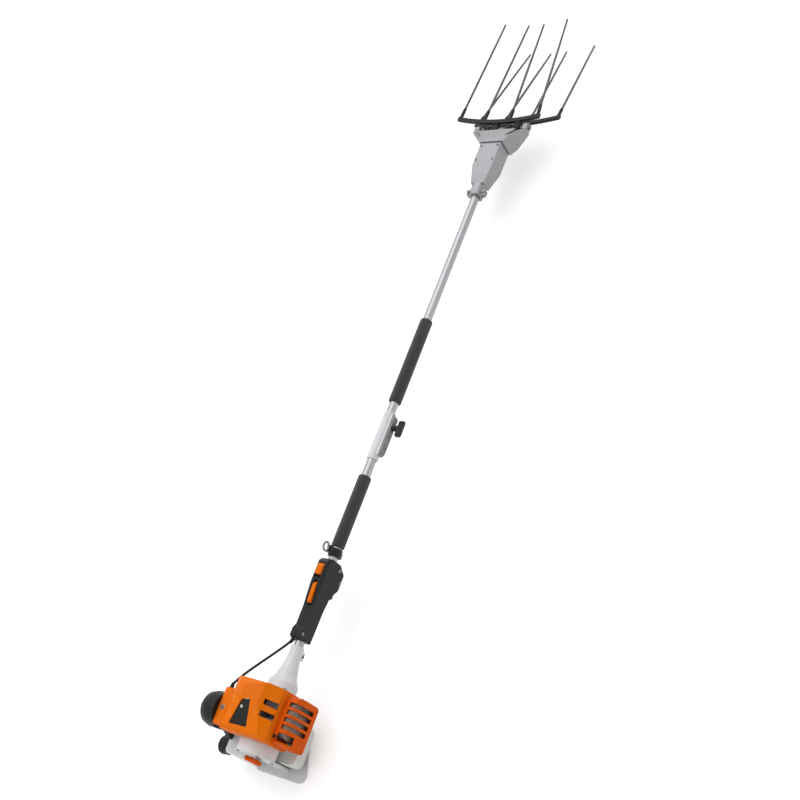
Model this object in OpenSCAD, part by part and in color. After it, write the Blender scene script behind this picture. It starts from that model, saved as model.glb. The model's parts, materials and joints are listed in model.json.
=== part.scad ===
// Engine-driven pole harvester: a two-stroke engine drives two swinging combs through a split pole.
// X runs along the pole from the engine to the combs, Y to the left, Z up; the foot stands at Z = 0.

/* [Pole] */
// Height of the pole's axis above the floor
axis_h = 120; // [118:0.5:124]
// Outside diameter of both tubes
tube_d = 25; // [24:0.5:26]
// Wall of both tubes
tube_wall = 1.8; // [1.5:0.1:2.2]
// Diameter of the drive shafts
shaft_d = 8; // [7:0.5:9]
// Outside diameter of the foam grips
grip_d = 36; // [32:1:40]
// Length of the lower foam grip
lower_grip_len = 210; // [160:5:230]
// Length of the upper foam grip
upper_grip_len = 272; // [200:4:300]
// Bare tube between the lower grip and the coupling sleeve
lower_bare_len = 50; // [40:1:80]
// Bare tube between the coupling sleeve and the upper grip
upper_bare_len = 31; // [24:1:60]
// Bare tube between the upper grip and the head
head_bare_len = 440; // [380:4:480]
// Length of the coupling sleeve
sleeve_len = 145; // [135:1:160]
// Wall of the coupling sleeve
sleeve_wall = 3.5; // [3:0.5:5]
// How far the upper tube sits in the sleeve
tube_seat = 67; // [62:1:72]

/* [Engine] */
// Distance of the cylinder ahead of the middle of the foot
engine_offset = 22; // [20:1:24]
// Length of the crankcase along the crankshaft
case_len = 80; // [78:1:84]
// Radius of the crankcase
case_r = 38; // [36:0.5:40]
// Cylinder bore
bore_d = 34; // [32:0.5:35]
// Piston stroke
stroke = 30; // [28:0.5:31]
// Width of the cylinder fins
fin_w = 56; // [50:1:57]
// Number of cylinder fins
fin_count = 6; // [4:1:7]
// Depth of the fan housing
fan_len = 42; // [40:1:46]
// Radius of the flywheel
flywheel_r = 50; // [46:0.5:51]
// Number of fan blades
blade_count = 14; // [8:1:18]
// Length of the clutch housing
cone_len = 124; // [118:1:136]
// Depth of the starter cover
starter_depth = 34; // [33:1:40]
// Wall of the moulded covers
cover_wall = 2.5; // [2:0.1:3]
// Length of the foot along the pole
foot_len = 140; // [136:2:150]
// Width of the foot across the pole
foot_w = 172; // [150:2:190]

/* [Handle] */
// Length of the control handle
handle_len = 219; // [215:1:226]
// Width of the control handle
handle_w = 36; // [34:1:42]
// Gap between the clutch housing and the handle
handle_gap = 15; // [12:1:24]

/* [Head] */
// Swing of each comb in degrees
comb_swing = 13; // [10:0.5:13.5]
// Distance from the crank to the comb pivot
crank_reach = 105; // [103:0.5:107]
// Distance between neighbouring tines
tine_pitch = 46; // [44:0.2:47]
// Length of a tine ahead of its bar
tine_len = 397; // [300:1:405]
// Diameter of a tine
tine_d = 7.5; // [5:0.5:8]
// Inward lean of the outer tines in degrees
tine_toe = 3.5; // [0:0.5:5]
// How far the bars bow forward at the outer tines
bar_bow = 22; // [0:1:24]
// Diameter of the comb axle
axle_d = 10; // [8:0.5:11]

/* [Clearances] */
// Radial gap of a turning or sliding fit
run_gap = 0.05; // [0.03:0.01:0.08]
// Gap between the faces of pieces that move past each other
side_gap = 0.5; // [0.4:0.1:0.8]

/* [Hidden] */
$fn = 64;
corner_steps = 5;

// Stations along the pole
case_x0 = engine_offset - case_len / 2;
case_x1 = case_x0 + case_len;
cyl_x = engine_offset;
starter_x0 = case_x0 - starter_depth;
clutch_x0 = case_x1 + fan_len;
cone_x1 = clutch_x0 + cone_len;
handle_x0 = cone_x1 + handle_gap;
handle_x1 = handle_x0 + handle_len;
carry_x0 = handle_x1 + 12;
carry_len = 22;
lower_grip_x0 = carry_x0 + carry_len + 4;
lower_grip_x1 = lower_grip_x0 + lower_grip_len;
sleeve_x0 = lower_grip_x1 + lower_bare_len;
sleeve_x1 = sleeve_x0 + sleeve_len;
joint_x = sleeve_x1 - tube_seat;
upper_grip_x0 = sleeve_x1 + upper_bare_len;
upper_grip_x1 = upper_grip_x0 + upper_grip_len;
head_x0 = upper_grip_x1 + head_bare_len;
pivot_run = 265;
pivot_x = head_x0 + pivot_run;
crank_x = pivot_x - crank_reach;
pinion_seat = 52;
head_case_x0 = crank_x - pinion_seat - 2;
head_case_x1 = crank_x + 27;

// Shared radii
tube_r = tube_d / 2;
tube_ri = tube_r - tube_wall;
shaft_r = shaft_d / 2;
grip_r = grip_d / 2;
crank_r = 6;
deck_h = 36;
head_h = 78;
crank_throw = crank_reach * tan(comb_swing / 2);

// Outline helpers
function unit(v) = v / norm(v);
function wrapped(a) = a > 180 ? a - 360 : a < -180 ? a + 360 : a;
function corner(a, b, c, r) =
    let(
        u = unit(a - b),
        v = unit(c - b),
        half = acos(u * v) / 2,
        mid = b + unit(u + v) * r / sin(half),
        p = b + u * r / tan(half) - mid,
        q = b + v * r / tan(half) - mid,
        start = atan2(p[1], p[0]),
        sweep = wrapped(atan2(q[1], q[0]) - start)
    )
    [for (k = [0 : corner_steps]) let(t = start + sweep * k / corner_steps) mid + r * [cos(t), sin(t)]];
function rounded(pts, r) =
    let(n = len(pts))
    [for (i = [0 : n - 1]) each corner(pts[(i + n - 1) % n], pts[i], pts[(i + 1) % n], r)];
function inward(a, b) = let(d = unit(b - a)) [-d[1], d[0]];
// Outline moved inward by a wall; the points run anticlockwise
function inset(pts, wall) =
    let(n = len(pts))
    [for (i = [0 : n - 1])
        let(
            b = pts[i],
            n1 = inward(pts[(i + n - 1) % n], b),
            n2 = inward(b, pts[(i + 1) % n])
        )
        b + wall * (n1 + n2) / (1 + n1 * n2)];
function rect(x0, x1, y0, y1) = [[x0, y0], [x1, y0], [x1, y1], [x0, y1]];

module on_axis(x) { translate([x, 0, axis_h]) rotate([0, 90, 0]) children(); }
module rod_x(x0, x1, r) { on_axis(x0) cylinder(h = x1 - x0, r = r); }
module ring_x(x0, x1, ro, ri) {
    difference() {
        rod_x(x0, x1, ro);
        rod_x(x0 - 1, x1 + 1, ri);
    }
}
module rod_y(x, z, y0, y1, r) { translate([x, y0, z]) rotate([-90, 0, 0]) cylinder(h = y1 - y0, r = r); }
module rod_z(x, y, z0, z1, r) { translate([x, y, z0]) cylinder(h = z1 - z0, r = r); }
module block(x0, x1, y0, y1, z0, z1) { translate([x0, y0, z0]) cube([x1 - x0, y1 - y0, z1 - z0]); }
// Outline in X and Y, raised along Z
module plan(pts, z0, z1) { translate([0, 0, z0]) linear_extrude(z1 - z0) polygon(pts); }
// Outline in X and Z, drawn along Y
module side(pts, y0, y1) { translate([0, y1, 0]) rotate([90, 0, 0]) linear_extrude(y1 - y0) polygon(pts); }
// Outline in Y and Z, drawn along X
module front(pts, x0, x1) { translate([x0, 0, 0]) rotate([90, 0, 90]) linear_extrude(x1 - x0) polygon(pts); }
// Profile in radius and length, turned about the pole's axis
module turned(x0, pts) { on_axis(x0) rotate_extrude() polygon(pts); }

// Engine: sizes that several pieces share
bearing_w = 8;
bearing_r = 13;
chamber_r = 29;
case_flange_r = 50;
deck_w = 58;
spigot_r = 20;
spigot_len = 8;
bore_r = bore_d / 2;
barrel_r = bore_r + 5;
rod_len = 40;
wrist_h = stroke / 2 + rod_len;
web_r = 26;
web_gap = 20;
web_w = 12;
port_h = 52;
fan_wall = 4;
fan_r = flywheel_r + 4 + fan_wall;
module_w = 28;
boss_r = 6.5;
screw_r = 2.5;
screw_head_r = 4.5;
screw_head_h = 5;
drum_r = 33;
drum_wall = 2.5;
drum_depth = 20;
hub_r = 9;
clutch_bearing_r = 14;
clutch_bearing_x = clutch_x0 + drum_depth + 2;
socket_len = 58;

// Spots of the four screws that join the fan housing and the clutch housing
module at_fan_bosses() {
    for (a = [45 : 90 : 315])
        translate([0, fan_r * cos(a), axis_h + fan_r * sin(a)]) rotate([0, 90, 0]) children();
}
module fan_bosses(x0, x1, r) {
    at_fan_bosses() translate([0, 0, x0]) cylinder(h = x1 - x0, r = r);
}

module crankcase() {
    color("silver") difference() {
        union() {
            rod_x(case_x0, case_x1, case_r);
            rod_x(case_x0, case_x0 + 6, case_flange_r);
            block(cyl_x - deck_w / 2, cyl_x + deck_w / 2, -deck_w / 2, deck_w / 2, axis_h, axis_h + deck_h);
        }
        rod_x(case_x0 + bearing_w, case_x1 - bearing_w, chamber_r);
        rod_x(case_x0 - 1, case_x1 + 1, bearing_r);
        rod_z(cyl_x, 0, axis_h, axis_h + deck_h + 1, spigot_r);
        block(cyl_x - deck_w / 2, cyl_x + deck_w / 2, -deck_w / 2, deck_w / 2,
            axis_h + deck_h, axis_h + case_r + 1);
    }
}

module engine_bearings() {
    color("gainsboro") {
        ring_x(case_x0, case_x0 + bearing_w, bearing_r, crank_r + run_gap);
        ring_x(case_x1 - bearing_w, case_x1, bearing_r, crank_r + run_gap);
        ring_x(clutch_bearing_x, clutch_bearing_x + bearing_w, clutch_bearing_r, hub_r + run_gap);
    }
}

plug_tilt = 12;
plug_h = 71;
plug_r = 5;
module along_plug(y0, y1, r) {
    translate([cyl_x, 0, axis_h + plug_h]) rotate([-90 + plug_tilt, 0, 0]) translate([0, 0, y0])
        cylinder(h = y1 - y0, r = r);
}

fin_t = 2;
fin_h0 = deck_h + 8;
fin_step = (head_h - fin_h0 - fin_t) / (fin_count - 1);
runner_y = 58;
exhaust_y = 36;
module cylinder_barrel() {
    color("lightgrey") difference() {
        union() {
            rod_z(cyl_x, 0, axis_h + deck_h - spigot_len, axis_h + head_h, spigot_r);
            rod_z(cyl_x, 0, axis_h + deck_h, axis_h + head_h, barrel_r);
            block(cyl_x - deck_w / 2, cyl_x + deck_w / 2, -deck_w / 2, deck_w / 2,
                axis_h + deck_h, axis_h + deck_h + 5);
            for (i = [0 : fin_count - 1])
                translate([cyl_x, 0, axis_h + fin_h0 + i * fin_step])
                    plan(rounded(rect(-fin_w / 2, fin_w / 2, -fin_w / 2, fin_w / 2), 8), 0, fin_t);
            rod_y(cyl_x, axis_h + port_h, 0, runner_y, 10);
            block(cyl_x - 14, cyl_x + 14, -exhaust_y, 0, axis_h + port_h - 10, axis_h + port_h + 10);
            along_plug(0, 20, 9);
        }
        rod_z(cyl_x, 0, axis_h + deck_h - spigot_len - 1, axis_h + head_h - 6, bore_r);
        rod_y(cyl_x, axis_h + port_h, bore_r, runner_y + 1, 6);
        rod_y(cyl_x, axis_h + port_h, -exhaust_y - 1, -bore_r, 7);
        along_plug(-1, 21, plug_r);
        along_plug(20, 60, 10);
    }
}

pin_r = 4;
module piston() {
    color("silver") {
        difference() {
            rod_z(cyl_x, 0, axis_h + wrist_h - 13, axis_h + wrist_h + 11, bore_r - run_gap);
            rod_z(cyl_x, 0, axis_h + wrist_h - 14, axis_h + wrist_h + 7, bore_r - 4);
        }
        translate([cyl_x, 0, axis_h + wrist_h]) rotate([0, 90, 0])
            cylinder(h = bore_d - 4, r = pin_r, center = true);
    }
}

module con_rod() {
    rod_w = 9;
    color("grey") translate([cyl_x, 0, axis_h]) rotate([0, 90, 0]) difference() {
        union() {
            translate([-wrist_h, 0, -rod_w / 2]) cylinder(h = rod_w, r = pin_r + 3);
            translate([-stroke / 2, 0, -rod_w / 2]) cylinder(h = rod_w, r = 11);
            translate([-wrist_h + pin_r + 1, -4, -rod_w / 2 + 2]) cube([rod_len - pin_r, 8, rod_w - 4]);
            translate([-stroke / 2, 0, 0]) cylinder(h = web_gap - 2 * side_gap, r = 7, center = true);
        }
        translate([-wrist_h, 0, -rod_w]) cylinder(h = 2 * rod_w, r = pin_r + run_gap);
    }
}

module crankshaft() {
    web0 = cyl_x - web_gap / 2;
    web1 = cyl_x + web_gap / 2;
    color("grey") {
        rod_x(case_x0 - 12, web0 - web_w, crank_r);
        rod_x(web0 - web_w, web0, web_r);
        rod_x(web1, web1 + web_w, web_r);
        rod_x(web1 + web_w, clutch_x0 + 12, crank_r);
    }
}

flywheel_x = case_x1 + 4;
flywheel_w = 12;
blade_h = 14;
module flywheel() {
    color("silver") difference() {
        union() {
            rod_x(flywheel_x, flywheel_x + flywheel_w, flywheel_r);
            rod_x(flywheel_x, flywheel_x + flywheel_w + blade_h, 16);
            for (i = [0 : blade_count - 1])
                on_axis(flywheel_x + flywheel_w) rotate([0, 0, i * 360 / blade_count])
                    translate([20, -1, -1]) cube([flywheel_r - 22, 2, blade_h + 1]);
        }
        rod_x(flywheel_x - 1, clutch_x0, crank_r);
    }
}

shoe_r = drum_r - drum_wall - 2;
module clutch_shoes() {
    x0 = clutch_x0;
    x1 = clutch_x0 + 12;
    color("dimgrey") difference() {
        union() {
            rod_x(flywheel_x + flywheel_w + blade_h, x1, 13);
            difference() {
                ring_x(x0, x1, shoe_r, shoe_r - 14);
                block(x0 - 1, x1 + 1, -4, 4, axis_h - drum_r, axis_h + drum_r);
            }
            block(x0, x1, 4 - shoe_r, shoe_r - 4, axis_h - 5, axis_h + 5);
        }
        rod_x(flywheel_x, x1 + 1, crank_r);
    }
}

module clutch_drum() {
    color("grey") difference() {
        union() {
            ring_x(clutch_x0 - 2, clutch_x0 + drum_depth, drum_r, drum_r - drum_wall);
            rod_x(clutch_x0 + drum_depth - 4, clutch_x0 + drum_depth, drum_r);
            rod_x(clutch_x0 + drum_depth - 4, clutch_bearing_x + bearing_w + 8, hub_r);
        }
        rod_x(clutch_x0, clutch_bearing_x + bearing_w + 9, shaft_r);
    }
}

module ignition_module() {
    gap = 0.4;
    color("dimgrey") difference() {
        block(flywheel_x + 1, flywheel_x + flywheel_w + 3, -module_w / 2, module_w / 2,
            axis_h + flywheel_r - 8, axis_h + fan_r + 14);
        rod_x(flywheel_x, flywheel_x + flywheel_w + 4, flywheel_r + gap);
    }
}

module fan_housing() {
    color("gainsboro") difference() {
        union() {
            rod_x(case_x1, clutch_x0, fan_r);
            fan_bosses(case_x1, clutch_x0, boss_r);
        }
        rod_x(case_x1 + cover_wall, clutch_x0 + 1, fan_r - fan_wall);
        rod_x(case_x1 - 1, clutch_x0, bearing_r + 2);
        block(case_x1 + cover_wall, flywheel_x + flywheel_w + 3, -module_w / 2, module_w / 2,
            axis_h + 40, axis_h + fan_r + 1);
        fan_bosses(clutch_x0 - 14, clutch_x0 + 1, screw_r);
    }
}

cone_r = tube_r + 5;
module clutch_housing() {
    cup = drum_depth + 2;
    seat = cup + bearing_w;
    color("whitesmoke") difference() {
        union() {
            turned(clutch_x0, [
                [0, 0], [fan_r, 0], [fan_r, 6], [drum_r + 6, 8], [drum_r + 6, 26], [drum_r - 5, 46],
                [cone_r + 6, cone_len - 60], [cone_r, cone_len - 30], [cone_r, cone_len], [0, cone_len]
            ]);
            fan_bosses(clutch_x0, clutch_x0 + 6, boss_r);
            block(cone_x1 - 28, cone_x1 - 6, -8, 8, axis_h - cone_r - 10, axis_h);
        }
        rod_x(clutch_x0 - 1, clutch_x0 + cup, drum_r + 3);
        rod_x(clutch_x0, clutch_x0 + seat, clutch_bearing_r);
        rod_x(clutch_x0, cone_x1, hub_r + 1);
        rod_x(cone_x1 - socket_len, cone_x1 + 1, tube_r);
        block(cone_x1 - 34, cone_x1 + 1, -1, 1, axis_h - cone_r - 11, axis_h);
        fan_bosses(clutch_x0 - 1, clutch_x0 + 7, screw_r);
        fan_bosses(clutch_x0 + 6, clutch_x0 + 12, screw_head_r + side_gap);
    }
}

// Covers of the engine
shroud_x0 = case_x0 - 3;
shroud_x1 = clutch_x0 + 4;
shroud_right = -66;
shroud_left = 74;
carb_cover_y = 100;
carb_bottom = 25;
carb_top = 80;
// Cross-section of the shroud, in Y and height above the pole's axis
shroud_section = [
    [shroud_right, -50], [shroud_left, -50], [shroud_left, 80], [46, 104], [18, 118], [-32, 106],
    [shroud_right, 70]
];
// Side view of the shroud, in X and height above the pole's axis: low behind, high in front
shroud_side = [
    [shroud_x0, -50], [shroud_x1, -50], [shroud_x1, 100], [shroud_x1 - 16, 118], [shroud_x0 + 6, 86],
    [shroud_x0, 78]
];
// Room under the shroud's lower edge
shroud_below = [[-90, -60], [90, -60], [90, 32], [46, 32], [-44, -16], [-90, -16]];
function raised(pts) = [for (p = pts) [p[0], p[1] + axis_h]];

module shroud_form(wall) {
    intersection() {
        front(rounded(raised(inset(shroud_section, wall)), 9 - wall), shroud_x0 + wall, shroud_x1 - wall);
        side(rounded(raised(inset(shroud_side, wall)), 6 - wall), -90, 90);
    }
}

window_w = 26;
window_l = 14;
window_y = -52;
// Slanted opening over the spark plug, in plan
plug_window = [[cyl_x - 25, -11], [cyl_x + 39, -7], [cyl_x + 32, 19], [cyl_x - 27, 44]];
cut_top = axis_h + 130;
module plug_opening() { plan(rounded(plug_window, 2.5), axis_h + 70, cut_top); }
module engine_shroud() {
    color("darkorange") difference() {
        shroud_form(0);
        shroud_form(cover_wall);
        front(raised(shroud_below), shroud_x0 - 1, shroud_x1 + 1);
        rod_x(case_x1, shroud_x1 + 1, fan_r);
        fan_bosses(case_x1, shroud_x1 + 1, boss_r + side_gap);
        rod_x(shroud_x0 - 1, case_x0 + 10, case_flange_r + side_gap);
        // Two cooling windows on the right slope
        for (x = [cyl_x + 7, cyl_x + 35])
            block(x, x + window_l, window_y - window_w / 2, window_y + window_w / 2, axis_h + 62,
                cut_top);
        plug_opening();
        // Ways through the side walls for the intake and the exhaust
        block(cyl_x - 25, cyl_x + 25, shroud_left - cover_wall - 1, shroud_left + 1,
            axis_h + carb_bottom + 6, axis_h + carb_top - 4);
        block(cyl_x - 18, cyl_x + 18, shroud_right - 1, shroud_right + cover_wall + 1,
            axis_h + port_h - 30, axis_h + port_h - 3);
    }
}

module spark_plug() {
    color("white") {
        along_plug(2, 20, plug_r);
        along_plug(20, 28, 8);
        along_plug(28, 46, 4);
    }
}

module plug_boot() {
    color("black") difference() {
        union() {
            along_plug(29, 54, 8);
            along_plug(46, 54, 9);
            // Plate that closes the opening from inside, on a post of the boot
            intersection() {
                plug_opening();
                shroud_form(cover_wall + 0.3);
                difference() {
                    shroud_form(0);
                    shroud_form(cover_wall + 2.5);
                }
            }
            intersection() {
                rod_z(cyl_x, 33, axis_h + 83, axis_h + 130, 4);
                shroud_form(cover_wall + 0.3);
            }
        }
        along_plug(28, 46, 4);
    }
}

muffler_x0 = cyl_x - 22;
muffler_x1 = cyl_x + 70;
muffler_bottom = -28;
muffler_top = 46;
muffler_y = -94;
exhaust_drop = 18;
module muffler() {
    y0 = shroud_right - 3;
    color("silver") difference() {
        union() {
            side(rounded(raised(rect(muffler_x0, muffler_x1, muffler_bottom, muffler_top)), 14), muffler_y, y0);
            front(raised([[-exhaust_y, port_h - 10], [-exhaust_y, port_h + 10],
                [y0 - 1, port_h + 10 - exhaust_drop], [y0 - 1, port_h - 10 - exhaust_drop]]),
                cyl_x - 14, cyl_x + 14);
            rod_y(muffler_x1 - 18, axis_h + 6, muffler_y - 6, muffler_y + 1, 7);
        }
        translate([cyl_x, -exhaust_y, axis_h + port_h])
            rotate([90 + atan2(exhaust_drop, -exhaust_y - y0), 0, 0])
                translate([0, 0, -5]) cylinder(h = 56, r = 7);
        rod_y(muffler_x1 - 18, axis_h + 6, muffler_y - 7, muffler_y + 12, 5);
    }
}

guard_x0 = muffler_x0 - 16;
guard_x1 = muffler_x1 + 10;
guard_bottom = muffler_bottom - 10;
guard_top = muffler_top + 6;
guard_y = muffler_y - 12;
guard_side = rect(guard_x0, guard_x1, guard_bottom, guard_top);
slot_count = 4;
module muffler_guard() {
    slot_step = (guard_x1 - guard_x0 - 46) / slot_count;
    color("orangered") difference() {
        intersection() {
            side(rounded(raised(guard_side), 18), guard_y, shroud_right);
            front(rounded(raised([[guard_y, guard_bottom], [shroud_right + 30, guard_bottom],
                [shroud_right + 30, guard_top], [guard_y + 12, guard_top], [guard_y, guard_top - 22]]), 8),
                guard_x0 - 1, guard_x1 + 1);
        }
        intersection() {
            side(rounded(raised(inset(guard_side, cover_wall)), 16), guard_y + cover_wall, shroud_right + 1);
            front(rounded(raised(inset([[guard_y, guard_bottom], [shroud_right + 30, guard_bottom],
                [shroud_right + 30, guard_top], [guard_y + 12, guard_top], [guard_y, guard_top - 22]],
                cover_wall)), 6), guard_x0 - 1, guard_x1 + 1);
        }
        block(guard_x0 + 8, guard_x0 + 28, guard_y - 1, shroud_right - 12, axis_h + guard_top - 34,
            axis_h + guard_top + 1);
        for (i = [0 : slot_count - 1])
            translate([guard_x0 + 34 + (i + 0.2) * slot_step, 0, 0])
                block(0, slot_step * 0.6, guard_y - 1, shroud_right - 14, axis_h + guard_bottom + 20,
                    axis_h + guard_top + 1);
    }
}

carb_x0 = cyl_x - 18;
carb_x1 = cyl_x + 18;
carb_y1 = 94;
lever_y = 76;
carb_h0 = port_h - 18;
carb_h1 = port_h + 18;
module carburettor() {
    color("silver") difference() {
        union() {
            block(carb_x0, carb_x1, runner_y, carb_y1, axis_h + carb_h0, axis_h + carb_h1);
            rod_y(cyl_x, axis_h + port_h, runner_y, carb_cover_y - cover_wall, 10);
        }
        rod_y(cyl_x, axis_h + port_h, runner_y - 1, carb_cover_y, 6);
        rod_z(cyl_x + 6, lever_y, axis_h + carb_h1 - 8, axis_h + carb_h1 + 1, 2.5 + run_gap);
    }
}

module throttle_lever() {
    z0 = axis_h + carb_h1 + side_gap;
    color("goldenrod") {
        rod_z(cyl_x + 6, lever_y, axis_h + carb_h1 - 7, z0 + 2, 2.5);
        rod_z(cyl_x + 6, lever_y, z0, z0 + 2, 5);
        block(cyl_x + 4, cyl_x + 8, lever_y, lever_y + 14, z0, z0 + 2);
    }
}

carb_cover_x0 = cyl_x - 38;
carb_cover_x1 = cyl_x + 56;
choke_h = 40;
primer_h = 60;
control_y = 86;
primer_r = 9;
cable_r = 3.2;
module carb_cover() {
    outline = raised(rect(carb_cover_x0, carb_cover_x1, carb_bottom, carb_top));
    color("darkorange") difference() {
        side(rounded(outline, 8), shroud_left, carb_cover_y);
        side(rounded(inset(outline, cover_wall), 6), shroud_left - 1, carb_cover_y - cover_wall);
        rod_y(cyl_x, axis_h + port_h, carb_cover_y - 5, carb_cover_y + 1, 7);
        translate([carb_cover_x0 - 1, control_y, axis_h + choke_h]) rotate([0, 90, 0])
            cylinder(h = cover_wall + 2, r = 3 + run_gap);
        translate([carb_cover_x0 - 1, control_y, axis_h + primer_h]) rotate([0, 90, 0])
            cylinder(h = cover_wall + 2, r = primer_r + side_gap);
    }
}

module choke_lever() {
    color("black") translate([carb_cover_x0, control_y, axis_h + choke_h]) rotate([0, 90, 0]) {
        translate([0, 0, -5]) cylinder(h = 5 - 0.3, r = 7);
        translate([0, 0, -1]) cylinder(h = cover_wall + 5, r = 3);
        translate([0, 0, cover_wall + side_gap]) cylinder(h = 2, r = 4.5);
        translate([0, -3.5, -5]) cube([24, 7, 3.5]);
    }
}

module primer_bulb() {
    flange_r = primer_r + 1.4;
    dome = [[0, -7], [5, -6.2], [7.6, -4], [primer_r, 0], [primer_r, cover_wall + 0.3],
        [flange_r, cover_wall + 0.3], [flange_r, cover_wall + 2], [0, cover_wall + 2]];
    color("black") translate([carb_cover_x0, control_y, axis_h + primer_h]) rotate([0, 90, 0])
        rotate_extrude() polygon(dome);
}

filter_x = cyl_x;
filter_h = port_h;
filter_r = 44;
filter_y1 = 152;
// Turned about an axis along Y, profile in radius and distance to the left
module filter_turned(pts) {
    translate([filter_x, 0, axis_h + filter_h]) rotate([-90, 0, 0]) rotate_extrude() polygon(pts);
}
module filter_element() {
    y0 = carb_cover_y + cover_wall;
    color("khaki") filter_turned([[14, y0], [filter_r - 5, y0], [filter_r - 5, y0 + 18], [14, y0 + 18]]);
}
module filter_cover() {
    w = cover_wall;
    color("black") {
        // Intake snorkel at the rear
        difference() {
            side(rounded(raised([[filter_x - 54, -19], [filter_x - 26, -19], [filter_x - 10, 16],
                [filter_x - 38, 18]]), 4), carb_cover_y, carb_cover_y + 14);
            rod_y(filter_x, axis_h + filter_h, carb_cover_y - 1, carb_cover_y + 15, filter_r - 1);
        }
        filter_turned([
        [8, carb_cover_y], [filter_r, carb_cover_y], [filter_r, carb_cover_y + 26],
        [filter_r - 5, filter_y1 - 9], [filter_r - 14, filter_y1], [0, filter_y1], [0, filter_y1 - w],
        [filter_r - 15, filter_y1 - w], [filter_r - w - 5, filter_y1 - 11], [filter_r - w, carb_cover_y + 25],
        [filter_r - w, carb_cover_y + w], [8, carb_cover_y + w]
        ]);
    }
}

// Recoil starter
starter_r = 50;
pulley_r = 30;
stud_r = 5;
pulley_x0 = starter_x0 + 8;
pulley_w = 12;
rope_x = starter_x0 - 10;
rope_y = 6;
rope_r = 2;
eyelet_top = -19;
grip_rest = 5;
bracket_half = 8;
bracket_t = 12;
module starter_cover() {
    slots = 10;
    color("gainsboro") difference() {
        union() {
            rod_x(starter_x0, case_x0, starter_r);
            block(rope_x - bracket_half, starter_x0 + 1, rope_y - bracket_half, rope_y + bracket_half,
                axis_h + eyelet_top - bracket_t, axis_h + eyelet_top);
        }
        difference() {
            rod_x(starter_x0 + cover_wall, case_x0 + 1, starter_r - cover_wall);
            rod_x(starter_x0, pulley_x0 + pulley_w + 1, stud_r);
            rod_x(starter_x0, pulley_x0 - side_gap, stud_r + 5);
        }
        for (i = [0 : slots - 1])
            on_axis(starter_x0 - 1) rotate([0, 0, i * 360 / slots]) translate([18, -2.5, 0])
                cube([22, 5, cover_wall + 2]);
        rod_z(rope_x, rope_y, axis_h - 60, axis_h + eyelet_top + 1, rope_r + side_gap);
    }
}

module starter_pulley() {
    color("black") difference() {
        turned(pulley_x0, [[stud_r + run_gap, 0], [pulley_r + 3, 0], [pulley_r + 3, 2], [pulley_r - 2, 3],
            [pulley_r - 2, pulley_w - 3], [pulley_r + 3, pulley_w - 2], [pulley_r + 3, pulley_w],
            [stud_r + run_gap, pulley_w]]);
        for (a = [0 : 60 : 300])
            on_axis(pulley_x0 - 1) rotate([0, 0, a]) translate([17, 0, 0]) cylinder(h = pulley_w + 2, r = 4);
    }
}

module starter_rope() {
    color("ivory") rod_z(rope_x, rope_y, axis_h + eyelet_top - 6, axis_h + eyelet_top + grip_rest, rope_r);
}

grip_half = 24;
bar_r = 6;
module starter_grip() {
    color("orangered") translate([rope_x, rope_y, axis_h + eyelet_top + grip_rest]) {
        cylinder(h = 6, r1 = 5, r2 = 6);
        translate([0, 0, 9]) rotate([0, 90, 84]) cylinder(h = 2 * grip_half, r = bar_r, center = true);
    }
}

// Fuel tank and foot
foot_t = 6;
tank_bottom = 20;
tank_mid = axis_h - 62;
tank_top = axis_h - case_r - 0.3;
tank_right = -72;
tank_left = 116;
tank_rear = -42;
neck_x = -42;
neck_h = axis_h - 50;
neck_r = 18;
neck_y1 = tank_left + 20;
cap_wall = 4;
module tank_form(wall) {
    plan(rounded(inset(rect(tank_rear, case_x1 - 1, tank_right, tank_left), wall), 16 - wall),
        tank_bottom + wall, tank_mid - wall);
    plan(rounded(inset(rect(case_x0 + 8, case_x1 - 4, tank_right + 8, tank_left), wall), 12 - wall),
        tank_bottom + wall, tank_top - wall);
    plan(rounded(inset(rect(neck_x - 20, case_x0 + 24, starter_r + 8, tank_left), wall), 12 - wall),
        tank_bottom + wall, neck_h + neck_r + 6 - wall);
}
module fuel_tank() {
    color("whitesmoke") difference() {
        union() {
            tank_form(0);
            rod_y(neck_x, neck_h, tank_left - 4, neck_y1, neck_r);
        }
        tank_form(cover_wall);
        rod_y(neck_x, neck_h, tank_left - 8, neck_y1 + 1, neck_r - 3);
    }
}

module fuel_cap() {
    ribs = 12;
    color("black") difference() {
        union() {
            rod_y(neck_x, neck_h, neck_y1 - 16, neck_y1 + 10, neck_r + cap_wall);
            for (i = [0 : ribs - 1])
                translate([neck_x, neck_y1 - 6, neck_h]) rotate([-90, i * 360 / ribs, 0])
                    translate([neck_r + cap_wall, 0, 0]) cylinder(h = 14, r = 1.6);
        }
        rod_y(neck_x, neck_h, neck_y1 - 17, neck_y1 + run_gap, neck_r + run_gap);
    }
}

upright_t = 6;
module engine_foot() {
    color("grey") difference() {
        union() {
            plan(rounded([[-foot_len / 2, -foot_w / 2], [foot_len / 2, -foot_w / 4], [foot_len / 2, foot_w / 4],
                [-foot_len / 2, foot_w / 2]], 18), 0, foot_t);
            for (y = [-38, 0, 38])
                block(tank_rear + 6, case_x1 - 6, y - 3, y + 3, 0, tank_bottom);
            block(case_x1 + 1, case_x1 + 1 + upright_t, -26, 26, 0, axis_h - fan_r + 8);
            block(tank_rear - 3 - upright_t, tank_rear - 3, -26, 26, 0, axis_h - starter_r + 8);
        }
        rod_x(starter_x0 - 1, case_x0, starter_r);
        rod_x(case_x1, clutch_x0, fan_r);
    }
}

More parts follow.
